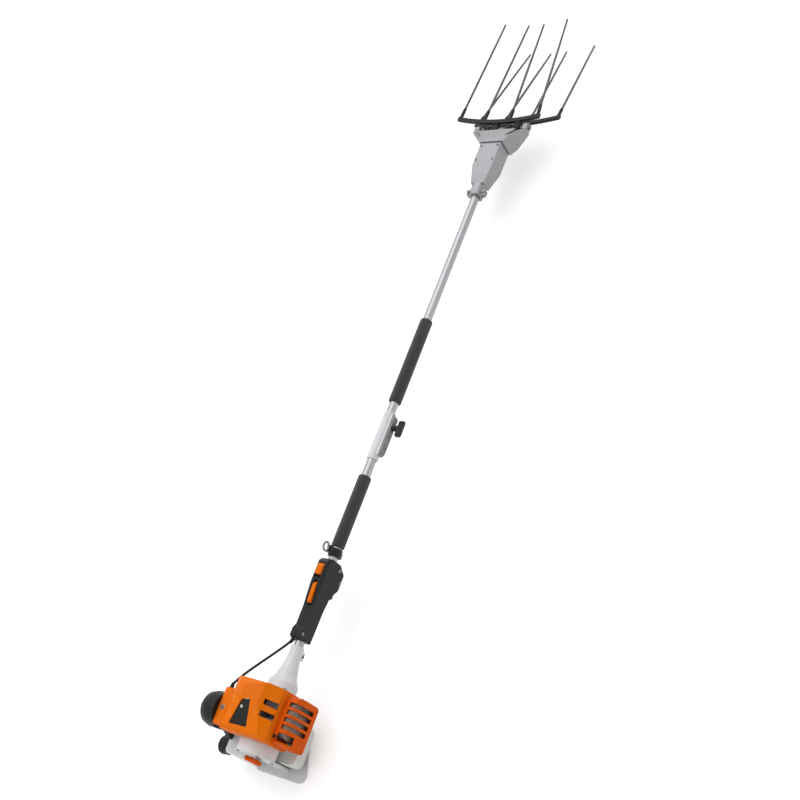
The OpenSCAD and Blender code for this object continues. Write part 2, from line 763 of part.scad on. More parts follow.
// Throttle cable: a smooth bend from the handle's rear end to the carburettor cover, by height above the axis
cable_from = [handle_x0 + 9, 13, 10];
cable_to = [carb_cover_x1, 92, 70];
cable_lead = [24, 28];
cable_stub = [4, 0, 0];
cable_steps = 20;
function bend(t, a, b, c, d) =
    pow(1 - t, 3) * a + 3 * pow(1 - t, 2) * t * b + 3 * (1 - t) * t * t * c + pow(t, 3) * d;
cable_bend = [for (i = [0 : cable_steps])
    bend(i / cable_steps, cable_from, cable_from - [cable_lead[0], 0, 0],
        cable_to + cable_stub + [cable_lead[1], 0, 0], cable_to + cable_stub)];
cable_route = [for (p = concat(cable_bend, [cable_to])) p + [0, 0, axis_h]];
cable_sides = 8;
function along(path, i) =
    let(n = len(path) - 1) unit(path[min(i + 1, n)] - path[max(i - 1, 0)]);
function ring_at(path, i, r) =
    let(
        t = along(path, i),
        a = unit(cross(t, [0, 0, 1])),
        b = cross(a, t)
    )
    [for (k = [0 : cable_sides - 1])
        let(w = 360 * k / cable_sides) path[i] + r * (cos(w) * a + sin(w) * b)];
module swept(path, r) {
    n = len(path);
    m = cable_sides;
    pts = [for (i = [0 : n - 1]) each ring_at(path, i, r)];
    walls = [for (i = [0 : n - 2], k = [0 : m - 1]) each
        [[i * m + k, i * m + (k + 1) % m, (i + 1) * m + k],
        [i * m + (k + 1) % m, (i + 1) * m + (k + 1) % m, (i + 1) * m + k]]];
    ends = [[for (k = [m - 1 : -1 : 0]) k], [for (k = [0 : m - 1]) (n - 1) * m + k]];
    polyhedron(pts, concat(walls, ends));
}
module throttle_cable() {
    color("black") swept(cable_route, cable_r);
}

// Control handle: side outline in distance from its rear end and height above the axis
handle_outline = [
    [0, -19], [30, -20], [88, -21], [126, -26], [150, -40], [163, -52], [200, -52], [210, -32],
    [handle_len, -20], [handle_len, 20], [206, 34], [160, 35], [132, 28], [88, 22], [38, 21], [24, 30],
    [6, 30], [0, 22]
];
trigger_at = [158, -26];
lockout_at = [146, 23];
lever_t = 10;
pocket_w = lever_t + 2 * side_gap;
switch_at = [184, 35];
switch_l = 30;
switch_w = 18;
switch_travel = 6;
peg_r = 3;
function from_handle(pts) = [for (p = pts) [p[0] + handle_x0, p[1] + axis_h]];
trigger_outline = [[-6, 7], [6, 5], [6, -9], [-4, -22], [-18, -27], [-26, -24], [-24, -14], [-14, -6]];
lockout_outline = [[5, -4], [5, 5], [-4, 11], [-46, 8], [-52, 4], [-50, -1], [-42, -1]];
function placed(pts, at) = [for (p = pts) [p[0] + at[0], p[1] + at[1]]];
// Pockets that hold the trigger, the lockout and the switch between the two halves
module handle_pockets() {
    w = pocket_w / 2;
    side(from_handle([[trigger_at[0] - 34, -60], [trigger_at[0] - 34, -15.5], [trigger_at[0] + 10, -15.5],
        [trigger_at[0] + 10, -36], [trigger_at[0] + 4, -60]]), -w, w);
    side(from_handle([[lockout_at[0] - 56, 15.5], [lockout_at[0] + 8, 15.5], [lockout_at[0] + 8, 44],
        [lockout_at[0] - 56, 44]]), -w, w);
    side(from_handle(rect(switch_at[0] - switch_l / 2 - switch_travel - 1, switch_at[0] + switch_l / 2 + 1,
        switch_at[1] - 8, switch_at[1] + 4)), -switch_w / 2 - side_gap, switch_w / 2 + side_gap);
}
handle_screws = [[14, 24], [178, -44], [204, -24]];
module handle_shell(y0, y1) {
    intersection() {
        side(rounded(from_handle(handle_outline), 4), y0, y1);
        front(rounded(raised(rect(-handle_w / 2, handle_w / 2, -53, 36)), 10), handle_x0 - 1, handle_x1 + 1);
    }
}
module handle_half(y0, y1) {
    difference() {
        handle_shell(y0, y1);
        rod_x(handle_x0 - 1, handle_x1 + 1, tube_r);
        handle_pockets();
        for (p = from_handle(handle_screws))
            rod_y(p[0], p[1], -handle_w, handle_w, screw_r);
        for (p = from_handle(handle_screws))
            rod_y(p[0], p[1], -handle_w, -handle_w / 2 + screw_head_h, screw_head_r);
        children();
    }
}
module handle_left() {
    color("black") handle_half(0, handle_w / 2) {
        for (p = from_handle([trigger_at, lockout_at]))
            rod_y(p[0], p[1], -1, pocket_w / 2 + 4, peg_r);
        swept(cable_route, cable_r);
    }
}
module handle_right() {
    color("black") {
        handle_half(-handle_w / 2, 0);
        for (p = from_handle([trigger_at, lockout_at]))
            rod_y(p[0], p[1], -pocket_w / 2 - 1, pocket_w / 2 + 4, peg_r);
    }
}
module lever_on_peg(outline, at, colour) {
    p = from_handle([at])[0];
    color(colour) difference() {
        union() {
            side(rounded(from_handle(placed(outline, at)), 2), -lever_t / 2, lever_t / 2);
            rod_y(p[0], p[1], -lever_t / 2, lever_t / 2, peg_r + 2.5);
        }
        rod_y(p[0], p[1], -lever_t, lever_t, peg_r + run_gap);
    }
}
module throttle_trigger() { lever_on_peg(trigger_outline, trigger_at, "dimgrey"); }
module throttle_lockout() { lever_on_peg(lockout_outline, lockout_at, "orangered"); }
module stop_switch() {
    z0 = switch_at[1] - 8 + 0.3;
    color("darkorange") side(rounded(from_handle([
        [switch_at[0] - switch_l / 2, z0], [switch_at[0] + switch_l / 2, z0],
        [switch_at[0] + switch_l / 2, z0 + 9], [switch_at[0] + 4, z0 + 14],
        [switch_at[0] - switch_l / 2, z0 + 12]
        ]), 2), -switch_w / 2, switch_w / 2);
}

// Pole
bush_len = 16;
coupler_r = 8;
coupler_len = 76;
square_w = shaft_d * 0.9;
square_len = 46;
coupler_x0 = joint_x - coupler_len + 10;
module tube_x(x0, x1) { color("silver") ring_x(x0, x1, tube_r, tube_ri); }
module lower_tube() { tube_x(cone_x1 - socket_len, joint_x - side_gap); }
module upper_tube() { tube_x(joint_x, head_x0 + tube_socket); }
module bushes(x0, x1, count) {
    step = (x1 - x0) / (count - 1);
    color("ivory") for (i = [0 : count - 1])
        ring_x(x0 + i * step - bush_len / 2, x0 + i * step + bush_len / 2, tube_ri, shaft_r + run_gap);
}
module lower_bushes() { bushes(handle_x0 + 40, lower_grip_x1 - 40, 3); }
module upper_bushes() { bushes(upper_grip_x0 + 20, head_x0 + 20, 4); }
module lower_shaft() {
    color("grey") difference() {
        union() {
            rod_x(clutch_x0 + drum_depth - 4, coupler_x0 + 10, shaft_r);
            rod_x(coupler_x0, coupler_x0 + coupler_len, coupler_r);
        }
        on_axis(coupler_x0 + 16) translate([-square_w / 2 - run_gap, -square_w / 2 - run_gap, 0])
            cube([square_w + 2 * run_gap, square_w + 2 * run_gap, coupler_len]);
    }
}
module grip_foam(x0, x1) { color("dimgrey") ring_x(x0, x1, grip_r, tube_r); }
module lower_grip() { grip_foam(lower_grip_x0, lower_grip_x1); }
module upper_grip() { grip_foam(upper_grip_x0, upper_grip_x1); }

eye_h = 46;
eye_r = 9;
eye_wire = 2.5;
eye_x = carry_x0 + carry_len / 2;
module carry_clamp() {
    color("black") difference() {
        union() {
            rod_x(carry_x0, carry_x0 + carry_len, tube_r + 5);
            block(eye_x - 9, eye_x + 9, -7, 7, axis_h, axis_h + eye_h - eye_r + 2);
            block(eye_x - 7, eye_x + 7, -8, 8, axis_h - tube_r - 11, axis_h);
        }
        rod_x(carry_x0 - 1, carry_x0 + carry_len + 1, tube_r);
        rod_y(eye_x, axis_h + eye_h, -10, 10, eye_r + 2 * eye_wire);
        block(carry_x0 - 1, carry_x0 + carry_len + 1, -1, 1, axis_h - tube_r - 12, axis_h);
    }
}
module carry_ring() {
    edge = 1.5;
    out = eye_r + 2 * eye_wire;
    color("grey") translate([eye_x, 0, axis_h + eye_h]) rotate([90, 0, 0]) rotate_extrude()
        polygon([[eye_r, -eye_wire], [out - edge, -eye_wire], [out, edge - eye_wire],
            [out, eye_wire - edge], [out - edge, eye_wire], [eye_r, eye_wire]]);
}

sleeve_r = tube_r + sleeve_wall;
knob_x = sleeve_x1 - 45;
knob_r = 4;
rib_y = -27;
module coupling_sleeve() {
    color("gainsboro") difference() {
        union() {
            turned(sleeve_x0, [[0, 0], [sleeve_r - 1.5, 0], [sleeve_r, 1.5], [sleeve_r, sleeve_len - 1.5],
                [sleeve_r - 1.5, sleeve_len], [0, sleeve_len]]);
            plan(rounded([[sleeve_x0 + 14, -4], [sleeve_x0 + 14, rib_y + 6], [sleeve_x0 + 24, rib_y],
                [sleeve_x1 - 16, rib_y], [sleeve_x1 - 8, rib_y + 6], [sleeve_x1 - 8, -4]], 2),
                axis_h - 10, axis_h + 10);
        }
        rod_x(sleeve_x0 - 1, joint_x - side_gap, tube_r);
        rod_x(joint_x - side_gap, sleeve_x1 + 1, tube_r + run_gap);
        block(joint_x + 8, sleeve_x1 + 1, rib_y - 1, 0, axis_h - 1, axis_h + 1);
        rod_y(knob_x, axis_h, rib_y - 1, -sleeve_r + 1, knob_r + run_gap);
    }
}
module clamp_knob() {
    color("black") {
        rod_y(knob_x, axis_h, rib_y - 20, -sleeve_r - 1, knob_r);
        rod_y(knob_x, axis_h, rib_y - 16, rib_y - 0.3, 8);
        side(rounded([for (p = rect(-24, 24, -7, 7)) p + [knob_x, axis_h]], 6), rib_y - 30, rib_y - 16);
    }
}

// Screws along the engine, the handle and the clamps
module screw(length) {
    cylinder(h = screw_head_h, r = screw_head_r);
    translate([0, 0, -length]) cylinder(h = length + 1, r = screw_r);
}
module cap_screws() {
    color("dimgrey") {
        at_fan_bosses() translate([0, 0, clutch_x0 + 6]) screw(18);
        for (p = from_handle(handle_screws))
            translate([p[0], -handle_w / 2 + screw_head_h, p[1]]) rotate([90, 0, 0])
                screw(handle_w - 2 * screw_head_h);
    }
}

// Head
head_w = 36;
head_hh = 30;
head_neck_r = 20;
cavity_w = 30;
cavity_h = 25.5;
pinion_bearing_x = crank_x - pinion_seat;
neck_len = 40;
neck_step = 4;
tube_socket = 60;
ear_x = 4;
ear_len = 20;
ear_w = 30;
ear_h = 9;
ear_screw_y = 25;
ear_slit = 1;
pinion_bearing_r = 13;
collar_t = 14;
collar_w = head_w + 4;
collar_h = head_hh + 4;
module gear_case() {
    plan_pts = [[head_x0, -head_neck_r], [head_x0 + neck_len, -head_neck_r - 2], [head_case_x0, -head_w],
        [head_case_x1, -head_w], [head_case_x1, head_w], [head_case_x0, head_w],
        [head_x0 + neck_len, head_neck_r + 2], [head_x0, head_neck_r]];
    side_pts = raised([
        [head_x0, -head_neck_r], [head_x0 + neck_len + neck_step, -head_neck_r], [head_case_x0 + 6, -head_hh],
        [head_case_x1, -head_hh], [head_case_x1, head_hh], [head_case_x0 + 6, head_hh],
        [head_x0 + neck_len + neck_step, head_neck_r], [head_x0, head_neck_r]]);
    color("silver") difference() {
        union() {
            intersection() {
                plan(rounded(plan_pts, 3), 0, 3 * axis_h);
                side(rounded(side_pts, 3), -head_w - 1, head_w + 1);
                union() {
                    rod_x(head_x0, head_case_x0, head_neck_r + 2);
                    front(rounded(raised(rect(-head_w, head_w, -head_hh, head_hh)), 5),
                        head_x0 + neck_len, head_case_x1);
                }
            }
            block(head_x0 + ear_x, head_x0 + ear_x + ear_len, -ear_w, ear_w, axis_h - ear_h, axis_h + ear_h);
        }
        rod_x(head_x0 - 1, head_x0 + tube_socket, tube_r);
        rod_x(head_x0, pinion_bearing_x + 1, shaft_r + 3);
        rod_x(pinion_bearing_x, pinion_bearing_x + bearing_w + 1, pinion_bearing_r);
        difference() {
            block(pinion_bearing_x + bearing_w, head_case_x1 + 1, -cavity_w, cavity_w,
                axis_h - cavity_h, axis_h + cavity_h);
            difference() {
                block(crank_x - 11, crank_x + 13, -14, -2, axis_h - cavity_h - 1, axis_h + cavity_h + 1);
                rod_y(crank_x, axis_h, -15, 0, crank_bush_r);
            }
        }
        block(head_x0 - 1, head_x0 + ear_x + ear_len + 10, -ear_w - 1, ear_w + 1,
            axis_h - ear_slit, axis_h + ear_slit);
        for (y = [-ear_screw_y, ear_screw_y])
            rod_z(head_x0 + ear_x + ear_len / 2, y, axis_h - ear_h - 1, axis_h + ear_h + 1, screw_r);
        for (y = [-1, 1], z = [-1, 1])
            translate([head_case_x1 - 12, y * (head_w - 3.4), axis_h + z * (head_hh - 2.9)]) rotate([0, 90, 0])
                cylinder(h = 13, r = collar_screw_r);
    }
}
crank_bush_r = 8.5;
collar_screw_r = 1.6;
module head_bearings() {
    color("gainsboro") {
        ring_x(pinion_bearing_x, pinion_bearing_x + bearing_w, pinion_bearing_r, shaft_r + run_gap);
        difference() {
            rod_y(crank_x, axis_h, -14, -2, crank_bush_r);
            rod_y(crank_x, axis_h, -15, -1, crank_r + run_gap);
        }
    }
}

fork_y = 84;
fork_t = 16;
fork_half = 11;
key_r = 3.5;
key_way = 22;
hood_h = 31;
hood_top = hood_h + 3;
hood_fall = 6;
hood_back = 26;
hood_x0 = head_case_x1 + collar_t + 6;
fork_knee = 34;
axle_r = axle_d / 2;
fork_boss_r = axle_r + 8;
module fork() {
    y0 = fork_y - fork_t / 2;
    y1 = fork_y + fork_t / 2;
    arm = [[head_case_x1, collar_w - 12], [head_case_x1 + collar_t, collar_w - 12], [pivot_x - fork_knee, 38],
        [pivot_x - 18, y0], [pivot_x, y0], [pivot_x, y1], [pivot_x - 20, y1], [head_case_x1, collar_w]];
    color("silver") difference() {
        union() {
            front(rounded(raised(rect(-collar_w, collar_w, -collar_h, collar_h)), 10),
                head_case_x1, head_case_x1 + collar_t);
            // Hood over the rocker arms
            intersection() {
                plan([[head_case_x1 + 4, 8 - collar_w], [hood_x0, 4 - collar_w],
                    [pivot_x - hood_back, fork_t - fork_y], [pivot_x - hood_back, fork_y - fork_t],
                    [hood_x0, collar_w - 4], [head_case_x1 + 4, collar_w - 8]], axis_h, axis_h + collar_h + 1);
                side(raised([[head_case_x1 + 4, hood_h], [hood_x0, hood_h],
                    [pivot_x - hood_back, hood_h - hood_fall], [pivot_x - hood_back, hood_top - hood_fall],
                    [hood_x0, hood_top], [head_case_x1 + 4, hood_top]]), -fork_y, fork_y);
            }
            for (m = [0, 1]) mirror([0, m, 0]) {
                intersection() {
                    plan(arm, axis_h - collar_h, axis_h + collar_h);
                    side(raised([[head_case_x1, -hood_top], [hood_x0, -hood_top], [pivot_x - 12, -fork_half],
                        [pivot_x + 1, -fork_half], [pivot_x + 1, fork_half], [pivot_x - 12, fork_half],
                        [hood_x0, hood_top], [head_case_x1, hood_top]]), 0, fork_y + fork_t);
                }
                rod_y(pivot_x, axis_h, y0, y1, fork_boss_r);
            }
        }
        block(head_case_x1 - 1, head_case_x1 + collar_t + 1, -collar_w + 12, collar_w - 12,
            axis_h - cavity_h + 2, axis_h + cavity_h - 2);
        rod_y(pivot_x, axis_h, -fork_y - fork_t, fork_y + fork_t, axle_r);
        // Screw holes, with ways for the heads and a key through the walls
        for (y = [-1, 1], z = [-1, 1])
            translate([head_case_x1 - 1, y * (head_w - 3.4), axis_h + z * (head_hh - 2.9)])
                rotate([0, 90, 0]) {
                    cylinder(h = collar_t + 2, r = collar_screw_r);
                    translate([0, 0, collar_t + 1]) cylinder(h = key_way, r = key_r);
                }
    }
}
module pivot_axle() {
    color("grey") {
        rod_y(pivot_x, axis_h, -fork_y - fork_t / 2, fork_y + fork_t / 2, axle_r);
        for (m = [0, 1]) mirror([0, m, 0])
            rod_y(pivot_x, axis_h, fork_y + fork_t / 2, fork_y + fork_t / 2 + 4, axle_r + 3);
    }
}
module head_screws() {
    color("dimgrey") {
        for (y = [-ear_screw_y, ear_screw_y])
            translate([head_x0 + ear_x + ear_len / 2, y, axis_h + ear_h]) screw(2 * ear_h);
        for (y = [-1, 1], z = [-1, 1])
            translate([head_case_x1 + collar_t, y * (head_w - 3.4), axis_h + z * (head_hh - 2.9)])
                rotate([0, 90, 0]) {
                    cylinder(h = 3, r = 3);
                    translate([0, 0, -collar_t - 10]) cylinder(h = collar_t + 11, r = collar_screw_r);
                }
    }
}

// Bevel gears: both cones meet where the drive shaft's axis crosses the crank's axis
pinion_teeth = 12;
crown_teeth = 24;
gear_module = 5 / 3;
pinion_r = gear_module * pinion_teeth / 2;
crown_r = gear_module * crown_teeth / 2;
cone_dist = norm([pinion_r, crown_r]);
face_w = 8;
addendum = 0.9 * gear_module;
dedendum = 1.2 * gear_module;
tip_half = 0.28 * gear_module;
root_half = 0.88 * gear_module;
tooth_sink = 0.3;
// Point on a tooth at a cone distance, a height over the pitch cone and an offset across the tooth
function tooth_point(s, h, w, delta) = [s * sin(delta) + h * cos(delta), w, s * cos(delta) - h * sin(delta)];
function tooth_end(s, delta) =
    let(k = s / cone_dist)
    [tooth_point(s, -k * (dedendum + tooth_sink), -k * root_half, delta),
        tooth_point(s, -k * (dedendum + tooth_sink), k * root_half, delta),
        tooth_point(s, k * addendum, k * tip_half, delta), tooth_point(s, k * addendum, -k * tip_half, delta)];
module bevel_gear(teeth, pitch_r, phase, back) {
    delta = asin(pitch_r / cone_dist);
    inner = cone_dist - face_w;
    k = inner / cone_dist;
    outer_pt = tooth_point(cone_dist, -dedendum, 0, delta);
    inner_pt = tooth_point(inner, -k * dedendum, 0, delta);
    rotate_extrude() polygon([[0, inner_pt[2]], [inner_pt[0], inner_pt[2]], [outer_pt[0], outer_pt[2]],
        [outer_pt[0], back], [0, back]]);
    for (i = [0 : teeth - 1])
        rotate([0, 0, phase + i * 360 / teeth])
            polyhedron(concat(tooth_end(cone_dist, delta), tooth_end(inner, delta)), [
                [0, 1, 2, 3], [7, 6, 5, 4], [0, 4, 5, 1], [1, 5, 6, 2], [2, 6, 7, 3], [3, 7, 4, 0]]);
}

pinion_back = 24;
crown_back = 16;
crank_pin_r = 3.5;
crank_pin_y = 27;
disc_y = -15;
disc_t = 4;
coupler_x1 = coupler_x0 + coupler_len;
module upper_shaft() {
    color("grey") {
        on_axis(coupler_x1 - square_len) translate([-square_w / 2, -square_w / 2, 0])
            cube([square_w, square_w, square_len + 4]);
        rod_x(coupler_x1 + side_gap, crank_x - pinion_back + 2, shaft_r);
        translate([crank_x, 0, axis_h]) rotate([0, -90, 0]) bevel_gear(pinion_teeth, pinion_r, 0, pinion_back);
    }
}
module crank_gear() {
    color("grey") {
        translate([crank_x, 0, axis_h]) rotate([-90, 0, 0])
            bevel_gear(crown_teeth, crown_r, 180 / crown_teeth, crown_back);
        rod_y(crank_x, axis_h, disc_y - disc_t, crown_back - 1, crank_r);
        rod_y(crank_x, axis_h - crank_throw, crown_back - 1, crank_pin_y, crank_pin_r);
        rod_y(crank_x, axis_h, disc_y - disc_t, disc_y, crank_throw + crank_pin_r + 2.5);
        rod_y(crank_x, axis_h + crank_throw, -crank_pin_y, disc_y - disc_t + 1, crank_pin_r);
    }
}

// Combs: drawn about their pivot with the tines along X; side is 1 for the upper comb, -1 for the lower
bar_x = 19;
bar_off = 11.8;
bar_lead = 16;
tine_short = 9;
bar_half_h = 4.5;
bar_half_d = 7.5;
bar_end = 8;
bar_pts = 16;
comb_hub_r = axle_r + 6;
main_hub = [14, 34];
far_hub = [-62, -42];
arm_y = [19.6, 26];
slot_wall = 4;
socket_l = 36;
socket_r = 5.5;
tine_root = 14;
outer_y = 3.5 * tine_pitch;
tine_ys = [for (i = [0 : 2 : 6]) outer_y - i * tine_pitch];
// Every tine leans towards the middle, those next to it by less
function lean(y) = tine_toe * sign(y) * min(1, abs(y) / tine_pitch);
// The lower comb's bar stands further forward
function root_x(side) = side > 0 ? bar_x : bar_x + bar_lead;
function bowed(y, side) = root_x(side) + bar_bow * pow(y / outer_y, 2);
function bar_line(side, y0, y1, d) =
    [for (i = [0 : bar_pts]) let(y = y0 + (y1 - y0) * i / bar_pts) [bowed(y, side) + d, y]];
module comb_place(turn) { translate([pivot_x, 0, axis_h]) rotate([0, turn, 0]) children(); }
module at_tines(side) {
    for (y = tine_ys)
        translate([bowed(y, side), side * y, side * bar_off])
            rotate([0, 90, -side * lean(y)]) children();
}
// Rocker arm with the slot that the crank pin slides in; near and far are the pin's distances from the pivot
module rocker_arm(near, far, slack, y0, y1) {
    half = crank_pin_r + slack;
    rim = half + slot_wall;
    end = far + crank_pin_r + 1 + slot_wall;
    start = near - crank_pin_r - 1;
    rotate([0, -comb_swing / 2, 0]) difference() {
        side(rounded([[-end, -rim], [-start + 8, -rim], [4, -8], [4, 8], [-start + 8, rim], [-end, rim]], 3.9),
            y0, y1);
        side(rounded(rect(-end + slot_wall, -start, -half, half), crank_pin_r), y0 - 1, y1 + 1);
    }
}
module comb_body(side, near, far, slack) {
    hubs = [for (h = [main_hub, far_hub]) side > 0 ? h : [-h[1], -h[0]]];
    y0 = tine_ys[3] - bar_end;
    y1 = tine_ys[0] + bar_end;
    back_line = bar_line(side, y0, y1, -bar_half_d);
    bar = concat(bar_line(side, y0, y1, bar_half_d), [for (i = [bar_pts : -1 : 0]) back_line[i]]);
    color("black") difference() {
        union() {
            mirror([0, side > 0 ? 0 : 1, 0])
                plan(bar, side * bar_off - bar_half_h, side * bar_off + bar_half_h);
            for (h = hubs) {
                rod_y(0, 0, h[0], h[1], comb_hub_r);
                mirror([0, 0, side > 0 ? 0 : 1])
                    side([[0, -9], [root_x(side) + 4, bar_off - bar_half_h],
                        [root_x(side) + 4, bar_off + bar_half_h], [0, 10]], h[0], h[1]);
            }
            rocker_arm(near, far, slack, side > 0 ? arm_y[0] : -arm_y[1], side > 0 ? arm_y[1] : -arm_y[0]);
            at_tines(side) translate([0, 0, 4]) cylinder(h = bar_half_d + socket_l - 4, r1 = socket_r, r2 = socket_r - 0.5);
        }
        rod_y(0, 0, -fork_y, fork_y, axle_r + run_gap);
        at_tines(side) translate([0, 0, tine_root]) cylinder(h = socket_l + bar_half_d, r = tine_d / 2);
    }
}
dead_reach = crank_reach / cos(comb_swing / 2);
module comb_a() {
    comb_place(0) comb_body(1, dead_reach, crank_reach + crank_throw, 0.2 * crank_throw);
}
module comb_b() {
    comb_place(comb_swing) comb_body(-1, crank_reach - crank_throw, dead_reach, 0.3 * crank_throw);
}
module tine_row(side) {
    color("dimgrey") at_tines(side) translate([0, 0, tine_root])
        cylinder(h = bar_half_d + tine_len - tine_root - (side > 0 ? 0 : tine_short), r = tine_d / 2);
}
module tines_a() { comb_place(0) tine_row(1); }
module tines_b() { comb_place(comb_swing) tine_row(-1); }

crankcase();
engine_bearings();
cylinder_barrel();
piston();
con_rod();
spark_plug();
plug_boot();
ignition_module();
engine_shroud();
muffler();
muffler_guard();
carburettor();
carb_cover();
filter_element();
filter_cover();
fan_housing();
starter_cover();
fuel_tank();
engine_foot();
clutch_housing();
throttle_cable();
handle_left();
handle_right();
lower_tube();
lower_bushes();
carry_clamp();
carry_ring();
lower_grip();
coupling_sleeve();
cap_screws();
crankshaft();
flywheel();
clutch_shoes();
throttle_lever();
throttle_trigger();
throttle_lockout();
stop_switch();
primer_bulb();
choke_lever();
starter_pulley();
starter_grip();
starter_rope();
fuel_cap();
clamp_knob();
clutch_drum();
lower_shaft();
upper_tube();
upper_bushes();
upper_grip();
gear_case();
head_bearings();
fork();
pivot_axle();
head_screws();
upper_shaft();
crank_gear();
comb_a();
comb_b();
tines_a();
tines_b();
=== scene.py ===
"""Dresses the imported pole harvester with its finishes, foam, cable and studio stage."""

import json
import math

import bmesh
import bpy
from bpy.props import FloatProperty, FloatVectorProperty, PointerProperty
from mathutils import Matrix, Vector
from mathutils.bvhtree import BVHTree


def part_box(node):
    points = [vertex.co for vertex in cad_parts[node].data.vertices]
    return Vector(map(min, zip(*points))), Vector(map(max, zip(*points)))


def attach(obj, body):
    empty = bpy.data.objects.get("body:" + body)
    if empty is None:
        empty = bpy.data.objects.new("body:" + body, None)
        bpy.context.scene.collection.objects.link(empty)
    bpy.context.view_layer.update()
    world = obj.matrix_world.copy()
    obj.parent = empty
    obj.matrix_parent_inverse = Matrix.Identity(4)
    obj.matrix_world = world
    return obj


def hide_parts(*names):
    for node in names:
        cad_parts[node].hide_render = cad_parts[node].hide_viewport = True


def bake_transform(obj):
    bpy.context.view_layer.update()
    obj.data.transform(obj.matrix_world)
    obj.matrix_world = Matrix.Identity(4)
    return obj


bl_info = {
    "name": "Pole harvester looks",
    "version": (1, 0, 0),
    "blender": (4, 5, 0),
    "location": "View3D > Sidebar > Harvester",
    "description": "Dresses the packed pole harvester and sets its studio stage",
    "category": "Object",
}

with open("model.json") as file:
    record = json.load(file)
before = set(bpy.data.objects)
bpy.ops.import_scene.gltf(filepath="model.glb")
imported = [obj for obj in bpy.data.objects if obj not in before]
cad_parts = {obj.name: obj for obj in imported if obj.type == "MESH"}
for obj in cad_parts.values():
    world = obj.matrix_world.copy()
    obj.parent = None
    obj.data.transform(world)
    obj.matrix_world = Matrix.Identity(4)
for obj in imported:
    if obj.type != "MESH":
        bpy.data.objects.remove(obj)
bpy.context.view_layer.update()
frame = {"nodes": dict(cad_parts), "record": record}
BODY_OF = {
    node: body
    for body, members in frame["record"]["behaviour"]["bodies"].items()
    for node in members
}
SLOT_OF = {s["node"]: s["material_slot"] for s in frame["record"]["subparts"]}
TUBE_LOW, TUBE_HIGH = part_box("upper_tube")
AXIS_H = (TUBE_LOW.z + TUBE_HIGH.z) / 2
FINISHES = {}
WELD = 5e-6
FINE_EDGE = 0.0004
PIN_EDGE = 0.0005
SMALL_EDGE = 0.0006
PRESSED_EDGE = 0.0008
THICK_EDGE = 0.0009
SCREW_RADIUS = 0.0034


def colour_prop(name, description, default):
    return FloatVectorProperty(
        name=name, description=description, subtype="COLOR", size=3, min=0, max=1, default=default
    )


def length_prop(name, description, default):
    return FloatProperty(
        name=name, description=description, subtype="DISTANCE", unit="LENGTH", min=0, default=default
    )


class HarvesterColours(bpy.types.PropertyGroup):
    """Colours of the harvester's finishes, in linear light"""

    orange: colour_prop("Orange shell", "Shroud, carburettor cover, lockout and switch", (0.80, 0.165, 0.0))
    # Darker, redder copy of the orange: on the muffler guard this is partly the guard's own tone and partly
    # painted shade of its side turned from the light
    red_orange: colour_prop("Red-orange", "Muffler guard and starter grip", (0.70, 0.096, 0.0))
    black: colour_prop("Black plastic", "Handle, caps, knob and combs", (0.0105, 0.0118, 0.0132))
    foam: colour_prop("Foam", "Grip foam", (0.021, 0.021, 0.022))
    tube: colour_prop("Tube alloy", "Drawn pole tubes", (0.34, 0.345, 0.355))
    cast: colour_prop("Cast alloy", "Gear case, fork and engine castings", (0.30, 0.305, 0.315))
    pale: colour_prop("Pale housing", "Fan, starter and clutch housings and sleeve", (0.66, 0.67, 0.69))
    grey: colour_prop("Grey plastic", "Engine foot", (0.68, 0.685, 0.69))
    tank: colour_prop("Tank plastic", "Translucent fuel tank", (0.78, 0.80, 0.79))
    steel: colour_prop("Steel", "Turned steel pieces", (0.21, 0.212, 0.216))
    burnt: colour_prop("Heat-stained steel", "Muffler", (0.30, 0.27, 0.25))
    rod: colour_prop("Fibre rod", "Comb tines", (0.052, 0.053, 0.056))
    rubber: colour_prop("Rubber", "Cable jacket, plug boot and primer", (0.013, 0.013, 0.014))
    ivory: colour_prop("Ivory plastic", "Bushes and starter rope", (0.70, 0.66, 0.55))
    filter: colour_prop("Filter foam", "Oiled filter element", (0.50, 0.38, 0.13))
    ceramic: colour_prop("Ceramic", "Spark plug insulator", (0.82, 0.82, 0.78))
    brass: colour_prop("Brass", "Throttle lever", (0.55, 0.36, 0.09))


class HarvesterSizes(bpy.types.PropertyGroup):
    """Sizes of what the looks add to the frame"""

    edge_round: length_prop("Edge rounding", "Rounding of a moulded cover's edges", 0.0010)
    foam_round: length_prop("Foam rounding", "Rounding of a foam grip's ends", 0.005)
    cable_radius: length_prop("Cable radius", "Radius of the throttle cable's jacket", 0.0032)
    tine_tip: length_prop("Tine tip radius", "Radius of a tine at its tip", 0.0032)


class HarvesterStage(bpy.types.PropertyGroup):
    """Camera and light of the studio stage"""

    floor: colour_prop("Floor", "Pale studio floor", (0.93, 0.93, 0.93))
    lens: FloatProperty(name="Lens", description="Focal length of the camera in millimetres", default=51.75)
    sun_strength: FloatProperty(name="Sun", description="Strength of the soft key light", default=1.15)
    sky_strength: FloatProperty(name="Sky", description="Strength of the even white surround", default=0.72)


def colours():
    return bpy.context.scene.harvester_colours


def sizes():
    return bpy.context.scene.harvester_sizes


def scaled(colour, factor):
    return tuple(min(1.0, c * factor) for c in colour) + (1.0,)


